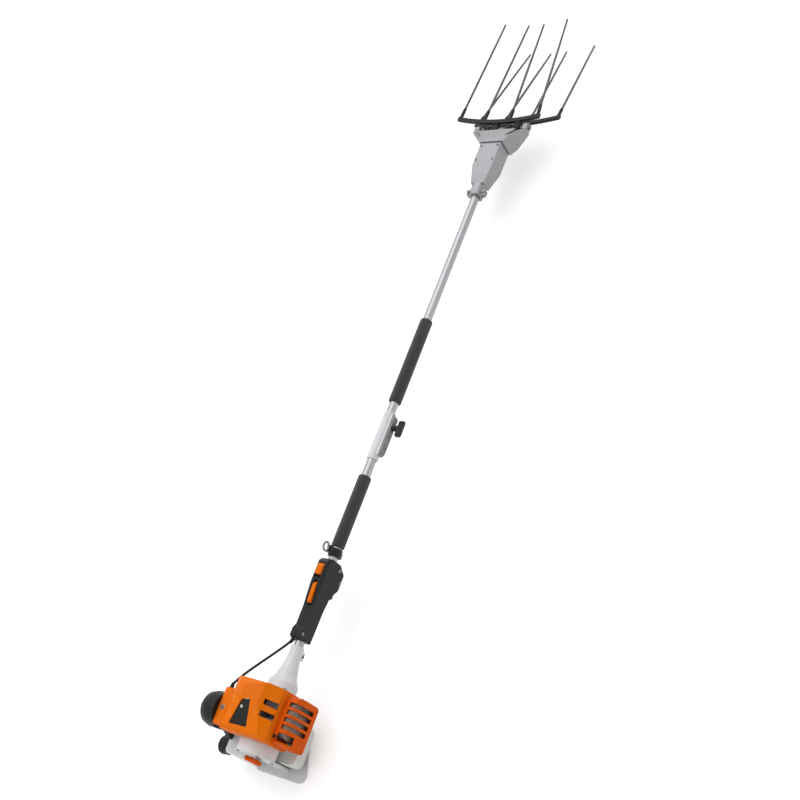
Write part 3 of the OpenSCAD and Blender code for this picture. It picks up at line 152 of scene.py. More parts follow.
class Surface:
    """Node builder of one procedural finish, in metres of the row frame"""

    def __init__(self, name):
        self.material = bpy.data.materials.new(name)
        self.material.use_nodes = True
        self.nodes = self.material.node_tree.nodes
        self.links = self.material.node_tree.links
        self.shader = self.nodes["Principled BSDF"]
        self.place = self.nodes.new("ShaderNodeTexCoord").outputs["Object"]

    def link(self, source, target):
        self.links.new(source, target)

    def stretched(self, scale):
        mapping = self.nodes.new("ShaderNodeMapping")
        mapping.inputs["Scale"].default_value = scale
        self.link(self.place, mapping.inputs["Vector"])
        return mapping.outputs["Vector"]

    def noise(self, size, detail=2.0, scale=None):
        """Noise whose features are about that size in metres"""
        node = self.nodes.new("ShaderNodeTexNoise")
        node.inputs["Scale"].default_value = 1 / size
        node.inputs["Detail"].default_value = detail
        self.link(self.stretched(scale) if scale else self.place, node.inputs["Vector"])
        return node.outputs["Fac"]

    def cells(self, size):
        """Rounded cells of about that size in metres"""
        node = self.nodes.new("ShaderNodeTexVoronoi")
        node.inputs["Scale"].default_value = 1 / size
        self.link(self.place, node.inputs["Vector"])
        return node.outputs["Distance"]

    def ranged(self, source, low, high, to_low=0.0, to_high=1.0):
        node = self.nodes.new("ShaderNodeMapRange")
        for socket, value in zip(node.inputs[1:5], (low, high, to_low, to_high)):
            socket.default_value = value
        self.link(source, node.inputs["Value"])
        return node.outputs["Result"]

    def spread(self, source, to_low=0.0, to_high=1.0):
        """A noise's usual range, stretched to another"""
        return self.ranged(source, 0.3, 0.7, to_low, to_high)

    def product(self, a, b):
        node = self.nodes.new("ShaderNodeMath")
        node.operation = "MULTIPLY"
        self.link(a, node.inputs[0])
        self.link(b, node.inputs[1])
        return node.outputs["Value"]

    def mixed(self, factor, a, b):
        """Colour between a and b; each is a colour or another node's output"""
        node = self.nodes.new("ShaderNodeMix")
        node.data_type = "RGBA"
        self.link(factor, node.inputs["Factor"])
        for socket, value in ((node.inputs[6], a), (node.inputs[7], b)):
            if isinstance(value, bpy.types.NodeSocket):
                self.link(value, socket)
            else:
                socket.default_value = value
        return node.outputs[2]

    def edges(self, low=0.51, high=0.56):
        """How far a point lies on an outer edge"""
        pointed = self.nodes.new("ShaderNodeNewGeometry").outputs["Pointiness"]
        return self.ranged(pointed, low, high)

    def along(self, axis):
        node = self.nodes.new("ShaderNodeSeparateXYZ")
        self.link(self.place, node.inputs["Vector"])
        return node.outputs[axis]

    def bumped(self, source, strength, depth):
        node = self.nodes.new("ShaderNodeBump")
        node.inputs["Strength"].default_value = strength
        node.inputs["Distance"].default_value = depth
        self.link(source, node.inputs["Height"])
        self.link(node.outputs["Normal"], self.shader.inputs["Normal"])

    def colour(self, source):
        self.link(source, self.shader.inputs["Base Color"])

    def roughness(self, source, low, high):
        self.link(self.spread(source, low, high), self.shader.inputs["Roughness"])

    def set(self, **values):
        for name, value in values.items():
            self.shader.inputs[name.replace("_", " ").title().replace("Ior", "IOR")].default_value = value


def moulded(name, colour, rough, grain, bump, specular=0.4, wear=0.2):
    """Moulded plastic: slow tone drift, fine mould grain and paler rubbed edges"""
    s = Surface(name)
    drift = s.noise(0.045, 3)
    base = s.mixed(s.spread(drift), scaled(colour, 0.92), scaled(colour, 1.06))
    rubbed = s.product(s.edges(), s.ranged(s.noise(0.006, 3), 0.35, 0.7, 0.0, wear))
    pale = tuple(0.7 * c + 0.1 for c in colour) + (1.0,)
    s.colour(s.mixed(rubbed, base, pale))
    s.roughness(s.noise(0.011, 3), rough - 0.06, rough + 0.08)
    s.bumped(s.noise(grain, 2), bump, grain * 0.4)
    s.set(specular_ior_level=specular)
    return s


def metal(name, colour, rough, grain, bump, stretch=None, metallic=1.0, wear=0.4):
    """Bare or blasted metal: grain that may run along X, handling marks and bright edges"""
    s = Surface(name)
    marks = s.noise(0.02, 4, stretch)
    base = s.mixed(s.spread(marks), scaled(colour, 0.86), scaled(colour, 1.07))
    bright = s.product(s.edges(), s.spread(s.noise(0.004, 2), 0.1, wear))
    s.colour(s.mixed(bright, base, scaled(colour, 1.35)))
    s.roughness(marks, rough - 0.07, rough + 0.09)
    s.bumped(s.noise(grain, 3, stretch), bump, grain * 0.3)
    s.set(metallic=metallic)
    return s


def painted(name, colour, shaded_bare=None, shaded_bare_from=0.0):
    """Painted casting: orange-peel paint, darker patches in hollows and chipped edges

    With a second colour, the side that lies below the given Y shows it: unpainted metal, drawn darker as
    painted shade of the side turned from the light.
    """
    paint_edge = 0.0012
    chipped_to = (0.42, 0.42, 0.43, 1.0)
    s = Surface(name)
    drift = s.noise(0.05, 3)
    base = s.mixed(s.spread(drift), scaled(colour, 0.93), scaled(colour, 1.04))
    # Hollows, where the pointiness is low, are drawn darker in noisy patches
    hollow_patches = s.product(s.edges(0.49, 0.44), s.spread(s.noise(0.012, 3), 0.1, 0.6))
    darker_hollows = s.mixed(hollow_patches, base, scaled(colour, 0.45))
    chips = s.product(s.edges(0.53, 0.58), s.ranged(s.noise(0.003, 3), 0.52, 0.6, 0.0, 0.7))
    coat = s.mixed(chips, darker_hollows, chipped_to)
    # Painted shade: the side below the given Y takes the darker second colour, standing in for the shade of
    # the side turned from the light
    if shaded_bare:
        mottle = s.mixed(s.spread(s.noise(0.007, 3)), scaled(shaded_bare, 0.88), scaled(shaded_bare, 1.1))
        coat = s.mixed(s.ranged(s.along("Y"), shaded_bare_from, shaded_bare_from - paint_edge), coat, mottle)
    s.colour(coat)
    s.roughness(s.noise(0.014, 3), 0.34, 0.48)
    s.bumped(s.noise(0.0022, 2), 0.12, 0.0003)
    s.set(coat_weight=0.15, coat_roughness=0.2)
    return s


def heat_stained(name, colour):
    """Pressed steel that exhaust heat has stained, with straw-coloured bloom and soot"""
    straw = (0.30, 0.20, 0.12, 1.0)
    s = Surface(name)
    bloom = s.noise(0.03, 3)
    warm = s.mixed(s.ranged(bloom, 0.35, 0.65), scaled(colour, 0.8), straw)
    soot = s.ranged(s.noise(0.008, 4), 0.45, 0.7, 0.0, 0.7)
    s.colour(s.mixed(soot, warm, scaled(colour, 0.3)))
    s.roughness(bloom, 0.5, 0.72)
    s.bumped(s.noise(0.0015, 3), 0.2, 0.0004)
    s.set(metallic=0.6)
    return s


def foamed(name, colour, cell, bump):
    """Closed-cell foam: pores, a worn matt skin and a little sheen"""
    s = Surface(name)
    pores = s.cells(cell)
    mottle = s.noise(0.03, 4)
    base = s.mixed(s.spread(mottle), scaled(colour, 0.8), scaled(colour, 1.25))
    s.colour(s.mixed(s.ranged(pores, 0.0, 0.5), scaled(colour, 0.55), base))
    s.roughness(mottle, 0.86, 0.98)
    s.bumped(pores, bump, cell * 0.5)
    s.set(sheen_weight=0.25, sheen_roughness=0.6)
    return s


def tank_plastic(name, colour):
    """Milky tank plastic with the fuel's darker level showing through"""
    filled = 0.55
    level_edge = 0.0012
    fuel_seen = (0.62, 0.60, 0.50, 1.0)
    s = Surface(name)
    low, high = (corner.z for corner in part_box("fuel_tank"))
    level = low + filled * (high - low)
    drift = s.noise(0.03, 2)
    clear = s.mixed(s.spread(drift), scaled(colour, 0.95), scaled(colour, 1.03))
    fuel = s.ranged(s.along("Z"), level + level_edge, level - level_edge, 0.0, 0.35)
    s.colour(s.mixed(fuel, clear, fuel_seen))
    s.roughness(drift, 0.38, 0.5)
    s.bumped(s.noise(0.0012, 2), 0.08, 0.0002)
    s.set(subsurface_weight=0.35, subsurface_radius=(0.006, 0.006, 0.005), subsurface_scale=1.0)
    return s


def fibre_rod(name, colour):
    """Pultruded fibre rod: long fibres under a clear skin"""
    s = Surface(name)
    lengthwise = (0.015, 1.0, 1.0)
    fibres = s.noise(0.0006, 2, lengthwise)
    s.colour(s.mixed(s.ranged(fibres, 0.35, 0.65), scaled(colour, 0.7), scaled(colour, 1.35)))
    s.roughness(s.noise(0.01, 3), 0.3, 0.42)
    s.bumped(fibres, 0.15, 0.0001)
    s.set(coat_weight=0.3, coat_roughness=0.2)
    return s


def make_finishes():
    """One finish for each material slot of the record"""
    c = colours()
    lengthwise = (0.03, 1.0, 1.0)
    return {
        "orange_shell": moulded(
            "orange_shell", c.orange, rough=0.40, grain=0.0011, bump=0.06, specular=0.05
        ),
        # Red-orange: on the muffler guard partly painted shade of its side turned from the light
        "red_orange": moulded(
            "red_orange", c.red_orange, rough=0.40, grain=0.0011, bump=0.06, specular=0.05
        ),
        "black_plastic": moulded(
            "black_plastic", c.black, rough=0.40, grain=0.0009, bump=0.3, specular=0.2, wear=0.12
        ),
        "foam": foamed("grip_foam", c.foam, cell=0.0013, bump=0.5),
        "tube_alloy": metal("tube_alloy", c.tube, rough=0.34, grain=0.0006, bump=0.1, stretch=lengthwise),
        "cast_alloy": metal("cast_alloy", c.cast, rough=0.5, grain=0.0012, bump=0.25, metallic=0.85),
        "pale_housing": painted("pale_housing", c.pale),
        "grey_plastic": moulded("grey_plastic", c.grey, rough=0.55, grain=0.0012, bump=0.3),
        "tank_plastic": tank_plastic("tank_plastic", c.tank),
        "steel": metal("turned_steel", c.steel, rough=0.36, grain=0.0005, bump=0.12),
        "burnt_steel": heat_stained("heat_stained_steel", c.burnt),
        "carbon_rod": fibre_rod("fibre_rod", c.rod),
        "soft_rubber": moulded(
            "soft_rubber", c.rubber, rough=0.62, grain=0.0007, bump=0.2, specular=0.25, wear=0.08
        ),
        "bush_plastic": moulded("bush_plastic", c.ivory, rough=0.5, grain=0.001, bump=0.1),
        "filter_foam": foamed("filter_foam", c.filter, cell=0.0022, bump=0.6),
        "ceramic": moulded("glazed_ceramic", c.ceramic, rough=0.2, grain=0.002, bump=0.03, specular=0.5),
        "brass": metal("brass_lever", c.brass, rough=0.35, grain=0.0006, bump=0.1),
    }


def finish_of(node):
    return FINISHES[SLOT_OF[node]].material


def keep(*nodes):
    """CAD nodes whose own solids show: they only get their finish"""
    for node in nodes:
        data = frame["nodes"][node].data
        data.materials.clear()
        data.materials.append(finish_of(node))


def add_piece(name, mesh, body, slot):
    """Mesh in the row frame that rides on a body and takes a slot's finish"""
    obj = bpy.data.objects.new(name, mesh)
    bpy.context.scene.collection.objects.link(obj)
    mesh.materials.clear()
    mesh.materials.append(FINISHES[slot].material)
    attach(obj, body)
    return obj


def smooth(mesh, angle=35):
    mesh.shade_smooth()
    mesh.set_sharp_from_angle(angle=math.radians(angle))


def dress(node, width=None, segments=2, angle=32):
    """Copy of a CAD node with rounded edges and clean shading that replaces it"""
    flat = math.radians(0.4)
    width = sizes().edge_round if width is None else width
    mesh = bpy.data.meshes.new(node + "_skin")
    bm = bmesh.new()
    bm.from_mesh(frame["nodes"][node].data)
    bmesh.ops.remove_doubles(bm, verts=bm.verts, dist=WELD)
    bmesh.ops.dissolve_limit(
        bm, angle_limit=flat, verts=bm.verts, edges=bm.edges, use_dissolve_boundaries=False
    )
    limit = math.radians(angle)
    sharp = [e for e in bm.edges if e.is_manifold and e.calc_face_angle(0.0) > limit]
    if width > 0:
        bmesh.ops.bevel(
            bm, geom=sharp, offset=width, offset_type="OFFSET", segments=segments, profile=0.5,
            affect="EDGES", clamp_overlap=False, loop_slide=True
        )
    bmesh.ops.triangulate(bm, faces=[f for f in bm.faces if len(f.verts) > 4])
    bm.to_mesh(mesh)
    bm.free()
    smooth(mesh)
    obj = add_piece(node + "_skin", mesh, BODY_OF[node], SLOT_OF[node])
    weighted = obj.modifiers.new("weighted normals", "WEIGHTED_NORMAL")
    weighted.keep_sharp = True
    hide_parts(node)
    return obj


def lathe(name, start, direction, profile, body, slot, steps=48):
    """Turned piece: profile is (distance along the axis, radius) from one end to the other"""
    axis = Vector(direction).normalized()
    turn = Vector((0, 0, 1)).rotation_difference(axis).to_matrix()
    bm = bmesh.new()
    rings = []
    for along, radius in profile:
        if radius < 1e-7:
            rings.append([bm.verts.new(Vector(start) + axis * along)])
            continue
        ring = []
        for k in range(steps):
            a = 2 * math.pi * k / steps
            spoke = Vector((radius * math.cos(a), radius * math.sin(a), along))
            ring.append(bm.verts.new(Vector(start) + turn @ spoke))
        rings.append(ring)
    for low, high in zip(rings, rings[1:]):
        for k in range(steps):
            lower = [low[i % len(low)] for i in (k, k + 1)]
            upper = [high[i % len(high)] for i in (k + 1, k)]
            corners = list(dict.fromkeys(lower + upper))
            if len(corners) > 2:
                bm.faces.new(corners)
    bmesh.ops.recalc_face_normals(bm, faces=bm.faces)
    mesh = bpy.data.meshes.new(name)
    bm.to_mesh(mesh)
    bm.free()
    smooth(mesh)
    return add_piece(name, mesh, body, slot)


def loose_parts(mesh):
    """Point lists of a mesh's separate solids, one point for each place"""
    bm = bmesh.new()
    bm.from_mesh(mesh)
    bmesh.ops.remove_doubles(bm, verts=bm.verts, dist=WELD)
    left = set(bm.verts)
    parts = []
    while left:
        reached = [left.pop()]
        for vert in reached:
            for edge in vert.link_edges:
                other = edge.other_vert(vert)
                if other in left:
                    left.remove(other)
                    reached.append(other)
        parts.append([vert.co.copy() for vert in reached])
    bm.free()
    return sorted(parts, key=lambda points: min(p.y for p in points))


def rounded_end(length, radius, inner, corner, steps=6):
    """Profile of a sleeve with rounded ends that is open from inner to radius"""
    arc = [0.5 * math.pi * k / steps for k in range(steps + 1)]
    first = [(corner * (1 - math.cos(a)), radius - corner * (1 - math.sin(a))) for a in arc]
    last = [(length - along, r) for along, r in reversed(first)]
    return [(0.0, inner)] + first + last + [(length, inner)]


class HARVESTER_OT_stage(bpy.types.Operator):
    """Sets the pale floor, the soft studio light and the camera"""

    bl_idname = "harvester.stage"
    bl_label = "Studio stage"

    camera_place = Vector((-0.2583, -1.7918, 2.4175))
    camera_right = Vector((0.3375, -0.8220, -0.4588))
    camera_up = Vector((0.8596, 0.0705, 0.5060))
    light_way = (-0.55, -0.18, -1.0)
    light_angle = math.radians(60)
    floor_half = 40.0
    floor_drop = 0.0005
    floor_glow = 0.26
    sky_spread = 0.36
    sky_reach = 0.8

    def sun(self, strength):
        light = bpy.data.lights.new("key", "SUN")
        light.energy = strength
        light.angle = self.light_angle
        obj = bpy.data.objects.new("key", light)
        bpy.context.scene.collection.objects.link(obj)
        obj.rotation_mode = "QUATERNION"
        obj.rotation_quaternion = Vector(self.light_way).to_track_quat("-Z", "Y")

    def seen_ray(self, tree):
        """Output that is 1 for rays that show the background and 0 for those that only light"""
        path = tree.nodes.new("ShaderNodeLightPath")
        total = path.outputs["Is Camera Ray"]
        for name in ("Is Glossy Ray", "Is Transmission Ray"):
            node = tree.nodes.new("ShaderNodeMath")
            node.operation = "MAXIMUM"
            tree.links.new(total, node.inputs[0])
            tree.links.new(path.outputs[name], node.inputs[1])
            total = node.outputs["Value"]
        return total

    def floor(self, colour):
        mesh = bpy.data.meshes.new("floor")
        half = self.floor_half
        corners = [(-half, -half, 0), (half, -half, 0), (half, half, 0), (-half, half, 0)]
        mesh.from_pydata(corners, [], [(0, 1, 2, 3)])
        obj = bpy.data.objects.new("floor", mesh)
        bpy.context.scene.collection.objects.link(obj)
        obj.location.z = -self.floor_drop
        s = Surface("studio_floor")
        s.shader.inputs["Base Color"].default_value = tuple(colour) + (1.0,)
        s.shader.inputs["Roughness"].default_value = 0.9
        s.shader.inputs["Specular IOR Level"].default_value = 0.1
        seen = self.seen_ray(s.material.node_tree)
        s.link(s.ranged(seen, 0.0, 1.0, 0.0, self.floor_glow), s.shader.inputs["Emission Strength"])
        s.shader.inputs["Emission Color"].default_value = (1.0, 1.0, 1.0, 1.0)
        mesh.materials.append(s.material)

    def world(self, strength):
        world = bpy.data.worlds.new("studio")
        world.use_nodes = True
        nodes, links = world.node_tree.nodes, world.node_tree.links
        background = nodes["Background"]
        background.inputs["Color"].default_value = (1.0, 1.0, 1.0, 1.0)
        way = nodes.new("ShaderNodeSeparateXYZ")
        links.new(nodes.new("ShaderNodeTexCoord").outputs["Generated"], way.inputs["Vector"])
        level = nodes.new("ShaderNodeMapRange")
        reach, spread = self.sky_reach, self.sky_spread * strength
        for socket, value in zip(level.inputs[1:5], (-reach, reach, strength - spread, strength + spread)):
            socket.default_value = value
        links.new(way.outputs["Y"], level.inputs["Value"])
        shown = nodes.new("ShaderNodeMix")
        shown.inputs["B"].default_value = 1.0
        links.new(self.seen_ray(world.node_tree), shown.inputs["Factor"])
        links.new(level.outputs["Result"], shown.inputs["A"])
        links.new(shown.outputs["Result"], background.inputs["Strength"])
        bpy.context.scene.world = world

    def camera(self, lens):
        data = bpy.data.cameras.new("camera")
        data.sensor_width = 36.0
        data.lens = lens
        data.clip_end = 100.0
        obj = bpy.data.objects.new("camera", data)
        bpy.context.scene.collection.objects.link(obj)
        back = self.camera_right.cross(self.camera_up)
        turn = Matrix((self.camera_right, self.camera_up, back)).transposed().to_4x4()
        obj.matrix_world = Matrix.Translation(self.camera_place) @ turn
        bpy.context.scene.camera = obj

    def execute(self, context):
        stage = context.scene.harvester_stage
        context.scene.view_settings.view_transform = "Standard"
        self.camera(stage.lens)
        self.floor(stage.floor)
        self.world(stage.sky_strength)
        self.sun(stage.sun_strength)
        return {"FINISHED"}


class HARVESTER_OT_engine_core(bpy.types.Operator):
    """Finishes the pieces inside the engine and the drive, whose solids show as they are"""

    bl_idname = "harvester.engine_core"
    bl_label = "Engine core and drive"

    def execute(self, context):
        keep(
            "engine_bearings", "piston", "con_rod", "ignition_module", "carburettor", "filter_element",
            "crankshaft", "flywheel", "clutch_shoes", "throttle_lever", "starter_pulley", "clutch_drum",
            "lower_shaft", "upper_shaft", "lower_bushes", "upper_bushes", "head_bearings", "crank_gear"
        )
        for node in ("crankcase", "cylinder_barrel", "spark_plug", "plug_boot"):
            dress(node, FINE_EDGE)
        return {"FINISHED"}


class HARVESTER_OT_engine_covers(bpy.types.Operator):
    """Dresses the shroud, the muffler with its guard, the intake covers and their controls"""

    bl_idname = "harvester.engine_covers"
    bl_label = "Engine covers"

    def execute(self, context):
        dress("engine_shroud", THICK_EDGE, angle=44)
        dress("carb_cover")
        for node in ("muffler", "muffler_guard", "filter_cover"):
            dress(node, PRESSED_EDGE)
        dress("choke_lever", SMALL_EDGE)
        dress("primer_bulb", FINE_EDGE)
        return {"FINISHED"}


class HARVESTER_OT_housings(bpy.types.Operator):
    """Dresses the fan housing, starter, clutch housing, fuel tank and foot"""

    bl_idname = "harvester.housings"
    bl_label = "Housings, tank and foot"

    def execute(self, context):
        for node in (
            "fan_housing", "starter_cover", "clutch_housing", "engine_foot", "starter_grip", "fuel_tank"
        ):
            dress(node)
        dress("fuel_cap", SMALL_EDGE)
        dress("cap_screws", FINE_EDGE)
        return {"FINISHED"}


class HARVESTER_OT_handle(bpy.types.Operator):
    """Dresses the control handle with its trigger, lockout and stop switch"""

    bl_idname = "harvester.handle"
    bl_label = "Control handle"

    def execute(self, context):
        for node in ("handle_left", "handle_right"):
            dress(node)
        for node in ("throttle_trigger", "throttle_lockout", "stop_switch"):
            dress(node, PRESSED_EDGE)
        return {"FINISHED"}


class HARVESTER_OT_cable(bpy.types.Operator):
    """Lays the throttle cable along its route and adds its boots"""

    bl_idname = "harvester.cable"
    bl_label = "Throttle cable"

    steps = 20
    in_handle = 0.009
    handle_side, handle_rise = 0.013, 0.010
    cover_side, cover_rise = 0.092, 0.070
    stub = Vector((0.004, 0, 0))
    leave_handle = Vector((0.024, 0, 0))
    reach_cover = Vector((0.028, 0, 0))

    def route(self):
        """Same bend as the cable's solid: out of the handle's rear end and into the carburettor cover"""
        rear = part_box("handle_left")[0].x
        a = Vector((rear + self.in_handle, self.handle_side, AXIS_H + self.handle_rise))
        end = Vector((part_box("carb_cover")[1].x, self.cover_side, AXIS_H + self.cover_rise))
        b = a - self.leave_handle
        d = end + self.stub
        c = d + self.reach_cover
        points = []
        for i in range(self.steps + 1):
            t = i / self.steps
            u = 1 - t
            points.append(u ** 3 * a + 3 * u ** 2 * t * b + 3 * u * t * t * c + t ** 3 * d)
        return points + [end]

    def execute(self, context):
        points = self.route()
        curve = bpy.data.curves.new("throttle_cable_line", "CURVE")
        curve.dimensions = "3D"
        curve.bevel_depth = sizes().cable_radius
        curve.bevel_resolution = 5
        curve.use_fill_caps = True
        spline = curve.splines.new("BEZIER")
        spline.bezier_points.add(len(points) - 1)
        for knot, point in zip(spline.bezier_points, points):
            knot.co = point
            knot.handle_left_type = knot.handle_right_type = "AUTO"
        obj = bpy.data.objects.new("throttle_cable_jacket", curve)
        context.scene.collection.objects.link(obj)
        curve.materials.append(finish_of("throttle_cable"))
        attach(obj, BODY_OF["throttle_cable"])
        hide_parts("throttle_cable")
        self.boot("cable_boot_cover", points[-1], Vector((1, 0, 0)))
        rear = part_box("handle_left")[0].x
        k = next(i for i, point in enumerate(points) if point.x < rear)
        way = (points[k] - points[k - 1]).normalized()
        self.boot("cable_boot_handle", points[k - 1] + way * (points[k - 1].x - rear) / -way.x, way)
        return {"FINISHED"}

    def boot(self, name, place, way):
        """Rubber boot where the cable goes into a cover: a flange, three ribs and a lip"""
        sink, flange_end, neck_from, length = 0.0005, 0.0028, 0.0032, 0.0135
        flange_wall, neck_wall, lip_wall = 0.0023, 0.0015, 0.0005
        first_rib, rib_step, rib_flat, rib_end = 0.0044, 0.0026, 0.0013, 0.0016
        rib_wall, rib_fall, rib_groove = 0.0017, 0.0003, 0.0006
        inner = sizes().cable_radius
        flange = inner + flange_wall
        profile = [(-sink, inner), (-sink, flange), (flange_end, flange), (neck_from, inner + neck_wall)]
        for k in range(3):
            start = first_rib + rib_step * k
            radius = inner + rib_wall - rib_fall * k
            profile += [(start, radius), (start + rib_flat, radius), (start + rib_end, radius - rib_groove)]
        profile += [(length, inner + lip_wall), (length, inner)]
        return lathe(name, place, way, profile, "base", "soft_rubber", 24)


class HARVESTER_OT_starter_rope(bpy.types.Operator):
    """Twists the starter rope, which draws out between its eyelet and the grip"""

    bl_idname = "harvester.starter_rope"
    bl_label = "Starter rope"

    strands = 3
    groove = 0.24
    turn_length = 0.0075
    in_eyelet = 0.006
    rings = 64
    sides = 24

    def execute(self, context):
        low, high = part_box("starter_rope")
        middle = (low + high) / 2
        radius = (high.x - low.x) / 2
        bm = bmesh.new()
        rows = []
        for i in range(self.rings + 1):
            along = (high.z - low.z) * i / self.rings
            row = []
            for k in range(self.sides):
                a = 2 * math.pi * k / self.sides
                lobe = math.cos(self.strands * (a - 2 * math.pi * along / self.turn_length))
                r = radius * (1 - self.groove * (1 - lobe) / 2)
                x, y = middle.x + r * math.cos(a), middle.y + r * math.sin(a)
                row.append(bm.verts.new((x, y, low.z + along)))
            rows.append(row)
        for below, above in zip(rows, rows[1:]):
            for k in range(self.sides):
                n = (k + 1) % self.sides
                bm.faces.new((below[k], below[n], above[n], above[k]))
        bm.faces.new(rows[0][::-1])
        bm.faces.new(rows[-1])
        mesh = bpy.data.meshes.new("starter_rope_line")
        bm.to_mesh(mesh)
        bm.free()
        smooth(mesh, 60)
        mesh.materials.append(finish_of("starter_rope"))
        obj = bpy.data.objects.new("starter_rope_line", mesh)
        context.scene.collection.objects.link(obj)
        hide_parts("starter_rope")
        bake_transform(obj)
        return {"FINISHED"}


class HARVESTER_OT_pole(bpy.types.Operator):
    """Dresses the tubes, the carrying clamp and the coupling, and makes the foam grips"""

    bl_idname = "harvester.pole"
    bl_label = "Pole and grips"

    tube_edge = 0.0003
    jaw_from = 0.0172
    jaw_shade = 0.55

    def foam_grip(self, node):
        low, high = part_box(node)
        radius = (high.z - low.z) / 2
        inner = (TUBE_HIGH.z - TUBE_LOW.z) / 2
        profile = rounded_end(high.x - low.x, radius, inner, sizes().foam_round)
        start = (low.x, 0, AXIS_H)
        obj = lathe(node + "_foam", start, (1, 0, 0), profile, BODY_OF[node], SLOT_OF[node], 64)
        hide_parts(node)

    def execute(self, context):
        for node in ("lower_tube", "upper_tube"):
            dress(node, self.tube_edge)
        sleeve = dress("coupling_sleeve", THICK_EDGE)
        # Painted shade: the jaw on the sleeve's -Y side is bare metal drawn darker, standing in for the
        # shade of the side turned from the light
        shaded_bare = scaled(colours().cast, self.jaw_shade)[:3]
        paint = painted("sleeve_paint_and_shade", colours().pale, shaded_bare, -self.jaw_from)
        sleeve.data.materials[0] = paint.material
        for node in ("carry_clamp", "clamp_knob"):
            dress(node, THICK_EDGE)
        dress("carry_ring", SMALL_EDGE)
        self.foam_grip("lower_grip")
        self.foam_grip("upper_grip")
        return {"FINISHED"}


class HARVESTER_OT_head(bpy.types.Operator):
    """Dresses the gear case, the fork and the two combs, and makes the tapered tines"""

    bl_idname = "harvester.head"
    bl_label = "Head and combs"

    cast_edge = 0.0014
    taper_from, taper_half = 0.35, 0.7
    tip_steps = 4

    def tapered_tines(self, node):
        """Rods that thin out to a rounded tip, along the lines of the node's own rods"""
        tip = sizes().tine_tip
        rods = []
        for k, points in enumerate(loose_parts(frame["nodes"][node].data)):
            ends = sorted(points, key=lambda p: p.x)
            half = len(ends) // 2
            start = sum(ends[:half], Vector()) / half
            end = sum(ends[half:], Vector()) / half
            root = max((p - start).length for p in ends[:half])
            length = (end - start).length
            profile = [
                (0.0, 0.0), (0.0, root), (self.taper_from * length, root),
                (self.taper_half * length, 0.5 * (root + tip))
            ]
            profile += [
                (length - tip * (1 - math.sin(a)), tip * math.cos(a))
                for a in (0.5 * math.pi / self.tip_steps * i for i in range(self.tip_steps + 1))
            ]
            name = f"{node}_rod_{k}"
            rods.append(lathe(name, start, end - start, profile, BODY_OF[node], SLOT_OF[node], 20))
        for rod in rods:
            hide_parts(node)

    def execute(self, context):
        for node in ("gear_case", "fork"):
            dress(node, self.cast_edge, 3)
        for node in ("pivot_axle", "head_screws"):
            dress(node, PIN_EDGE)
        for node in ("comb_a", "comb_b"):
            dress(node)
        for node in ("tines_a", "tines_b"):
            self.tapered_tines(node)
        return {"FINISHED"}


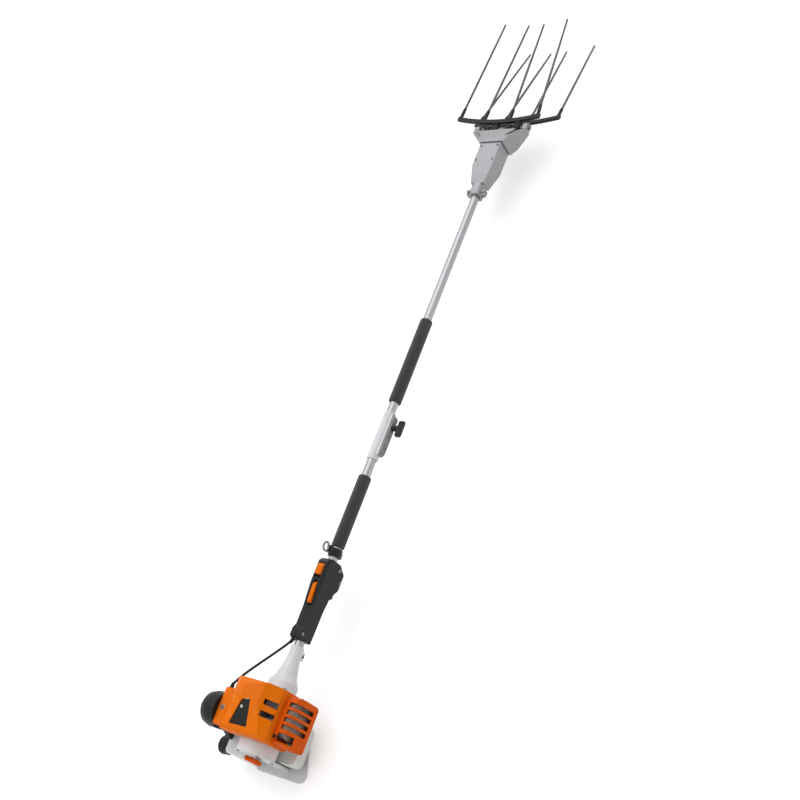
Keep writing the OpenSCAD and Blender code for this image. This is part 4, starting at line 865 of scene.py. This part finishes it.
class HARVESTER_OT_fasteners(bpy.types.Operator):
    """Adds the small screws that hold the covers, the clamps and the gear case"""

    bl_idname = "harvester.fasteners"
    bl_label = "Cover screws"

    starter_wall = 0.008
    starter_circle = 0.0445
    case_backs = (0.012, 0.066)
    case_side = 0.0285
    sleeve_stations = (0.036, 0.072)
    ear_side = -0.008
    ear_height = 0.0055
    pinch_back = 0.017
    pinch_drop = 0.0225
    guard_rear, guard_side = 0.017, 0.006
    plug_place = (0.0385, 0.0165)
    cover_place = (0.027, 0.087)

    def screw(self, name, place, way, body, radius=SCREW_RADIUS, slot="steel"):
        """Cap screw with a washer flange and a recessed drive"""
        sink, washer_top, head_from = 0.0004, 0.0004, 0.0006
        washer = 1.35 * radius
        high = 0.75 * radius
        floor = 0.35 * high
        profile = [
            (-sink, 0.0), (-sink, washer), (washer_top, washer), (head_from, radius),
            (0.75 * high, radius), (high, 0.82 * radius), (high, 0.5 * radius), (floor, 0.46 * radius),
            (floor, 0.0)
        ]
        return lathe(name, place, way, profile, body, slot, 24)

    def dropped(self, name, node, x, y, radius=SCREW_RADIUS, slot="steel"):
        """Screw set on a node's surface, found from above"""
        data = frame["nodes"][node].data
        tree = BVHTree.FromPolygons([v.co for v in data.vertices], [f.vertices for f in data.polygons])
        place, normal, *_ = tree.ray_cast(Vector((x, y, 1.0)), Vector((0, 0, -1)))
        self.screw(name, place, normal, BODY_OF[node], radius, slot)

    def row(self, name, places, way, body, radius=SCREW_RADIUS, slot="steel"):
        for k, place in enumerate(places):
            self.screw(f"{name}_{k}", Vector(place), Vector(way), body, radius, slot)

    def on_engine(self):
        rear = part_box("starter_pulley")[0].x - self.starter_wall
        angles = [math.radians(45 + 90 * k) for k in range(4)]
        places = [
            (rear, self.starter_circle * math.cos(a), AXIS_H + self.starter_circle * math.sin(a))
            for a in angles
        ]
        self.row("starter_screw", places, (-1, 0, 0), "base")

    def on_head(self):
        case_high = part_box("gear_case")[1]
        places = [
            (case_high.x - back, side * self.case_side, case_high.z)
            for back in self.case_backs for side in (-1, 1)
        ]
        self.row("case_screw", places, (0, 0, 1), "upper_pole", 0.0032)

    def on_pole(self):
        sideways = (0, -1, 0)
        sleeve_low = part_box("coupling_sleeve")[0]
        places = [(sleeve_low.x + station, sleeve_low.y, AXIS_H) for station in self.sleeve_stations]
        self.row("sleeve_screw", places, sideways, "base")
        clamp_low, clamp_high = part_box("carry_clamp")
        middle = 0.5 * (clamp_low.x + clamp_high.x)
        ear = (middle, self.ear_side, clamp_low.z + self.ear_height)
        self.row("clamp_screw", [ear], sideways, "base", 0.003)
        housing_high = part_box("clutch_housing")[1]
        pinch = (housing_high.x - self.pinch_back, self.ear_side, AXIS_H - self.pinch_drop)
        self.row("pinch_screw", [pinch], sideways, "base")

    def on_covers(self):
        guard_low, guard_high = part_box("muffler_guard")
        guard_place = (guard_low.x + self.guard_rear, guard_high.y - self.guard_side)
        self.dropped("guard_screw", "muffler_guard", *guard_place, 0.0036, "black_plastic")
        self.dropped("plug_screw", "plug_boot", *self.plug_place, 0.0030, "bush_plastic")
        self.dropped("cover_screw", "carb_cover", *self.cover_place, 0.0046)

    def execute(self, context):
        self.on_engine()
        self.on_head()
        self.on_pole()
        self.on_covers()
        return {"FINISHED"}


class HARVESTER_PT_panel(bpy.types.Panel):
    """Lists the harvester's pieces and settings"""

    bl_idname = "HARVESTER_PT_panel"
    bl_label = "Pole harvester"
    bl_space_type = "VIEW_3D"
    bl_region_type = "UI"
    bl_category = "Harvester"

    def draw(self, context):
        for operator in OPERATORS:
            self.layout.operator(operator.bl_idname)
        for group in ("harvester_colours", "harvester_sizes", "harvester_stage"):
            settings = getattr(context.scene, group)
            box = self.layout.box()
            for name in settings.__annotations__:
                box.prop(settings, name)


OPERATORS = (
    HARVESTER_OT_stage, HARVESTER_OT_engine_core, HARVESTER_OT_engine_covers, HARVESTER_OT_housings,
    HARVESTER_OT_handle, HARVESTER_OT_cable, HARVESTER_OT_starter_rope, HARVESTER_OT_pole,
    HARVESTER_OT_head, HARVESTER_OT_fasteners
)
GROUPS = {
    "harvester_colours": HarvesterColours,
    "harvester_sizes": HarvesterSizes,
    "harvester_stage": HarvesterStage,
}


def register():
    for cls in (*GROUPS.values(), *OPERATORS, HARVESTER_PT_panel):
        bpy.utils.register_class(cls)
    for name, cls in GROUPS.items():
        setattr(bpy.types.Scene, name, PointerProperty(type=cls))


def unregister():
    for name in GROUPS:
        delattr(bpy.types.Scene, name)
    for cls in reversed((*GROUPS.values(), *OPERATORS, HARVESTER_PT_panel)):
        bpy.utils.unregister_class(cls)


def main():
    register()
    FINISHES.update(make_finishes())
    for operator in OPERATORS:
        group, name = operator.bl_idname.split(".")
        getattr(getattr(bpy.ops, group), name)()


if __name__ == "__main__":
    main()
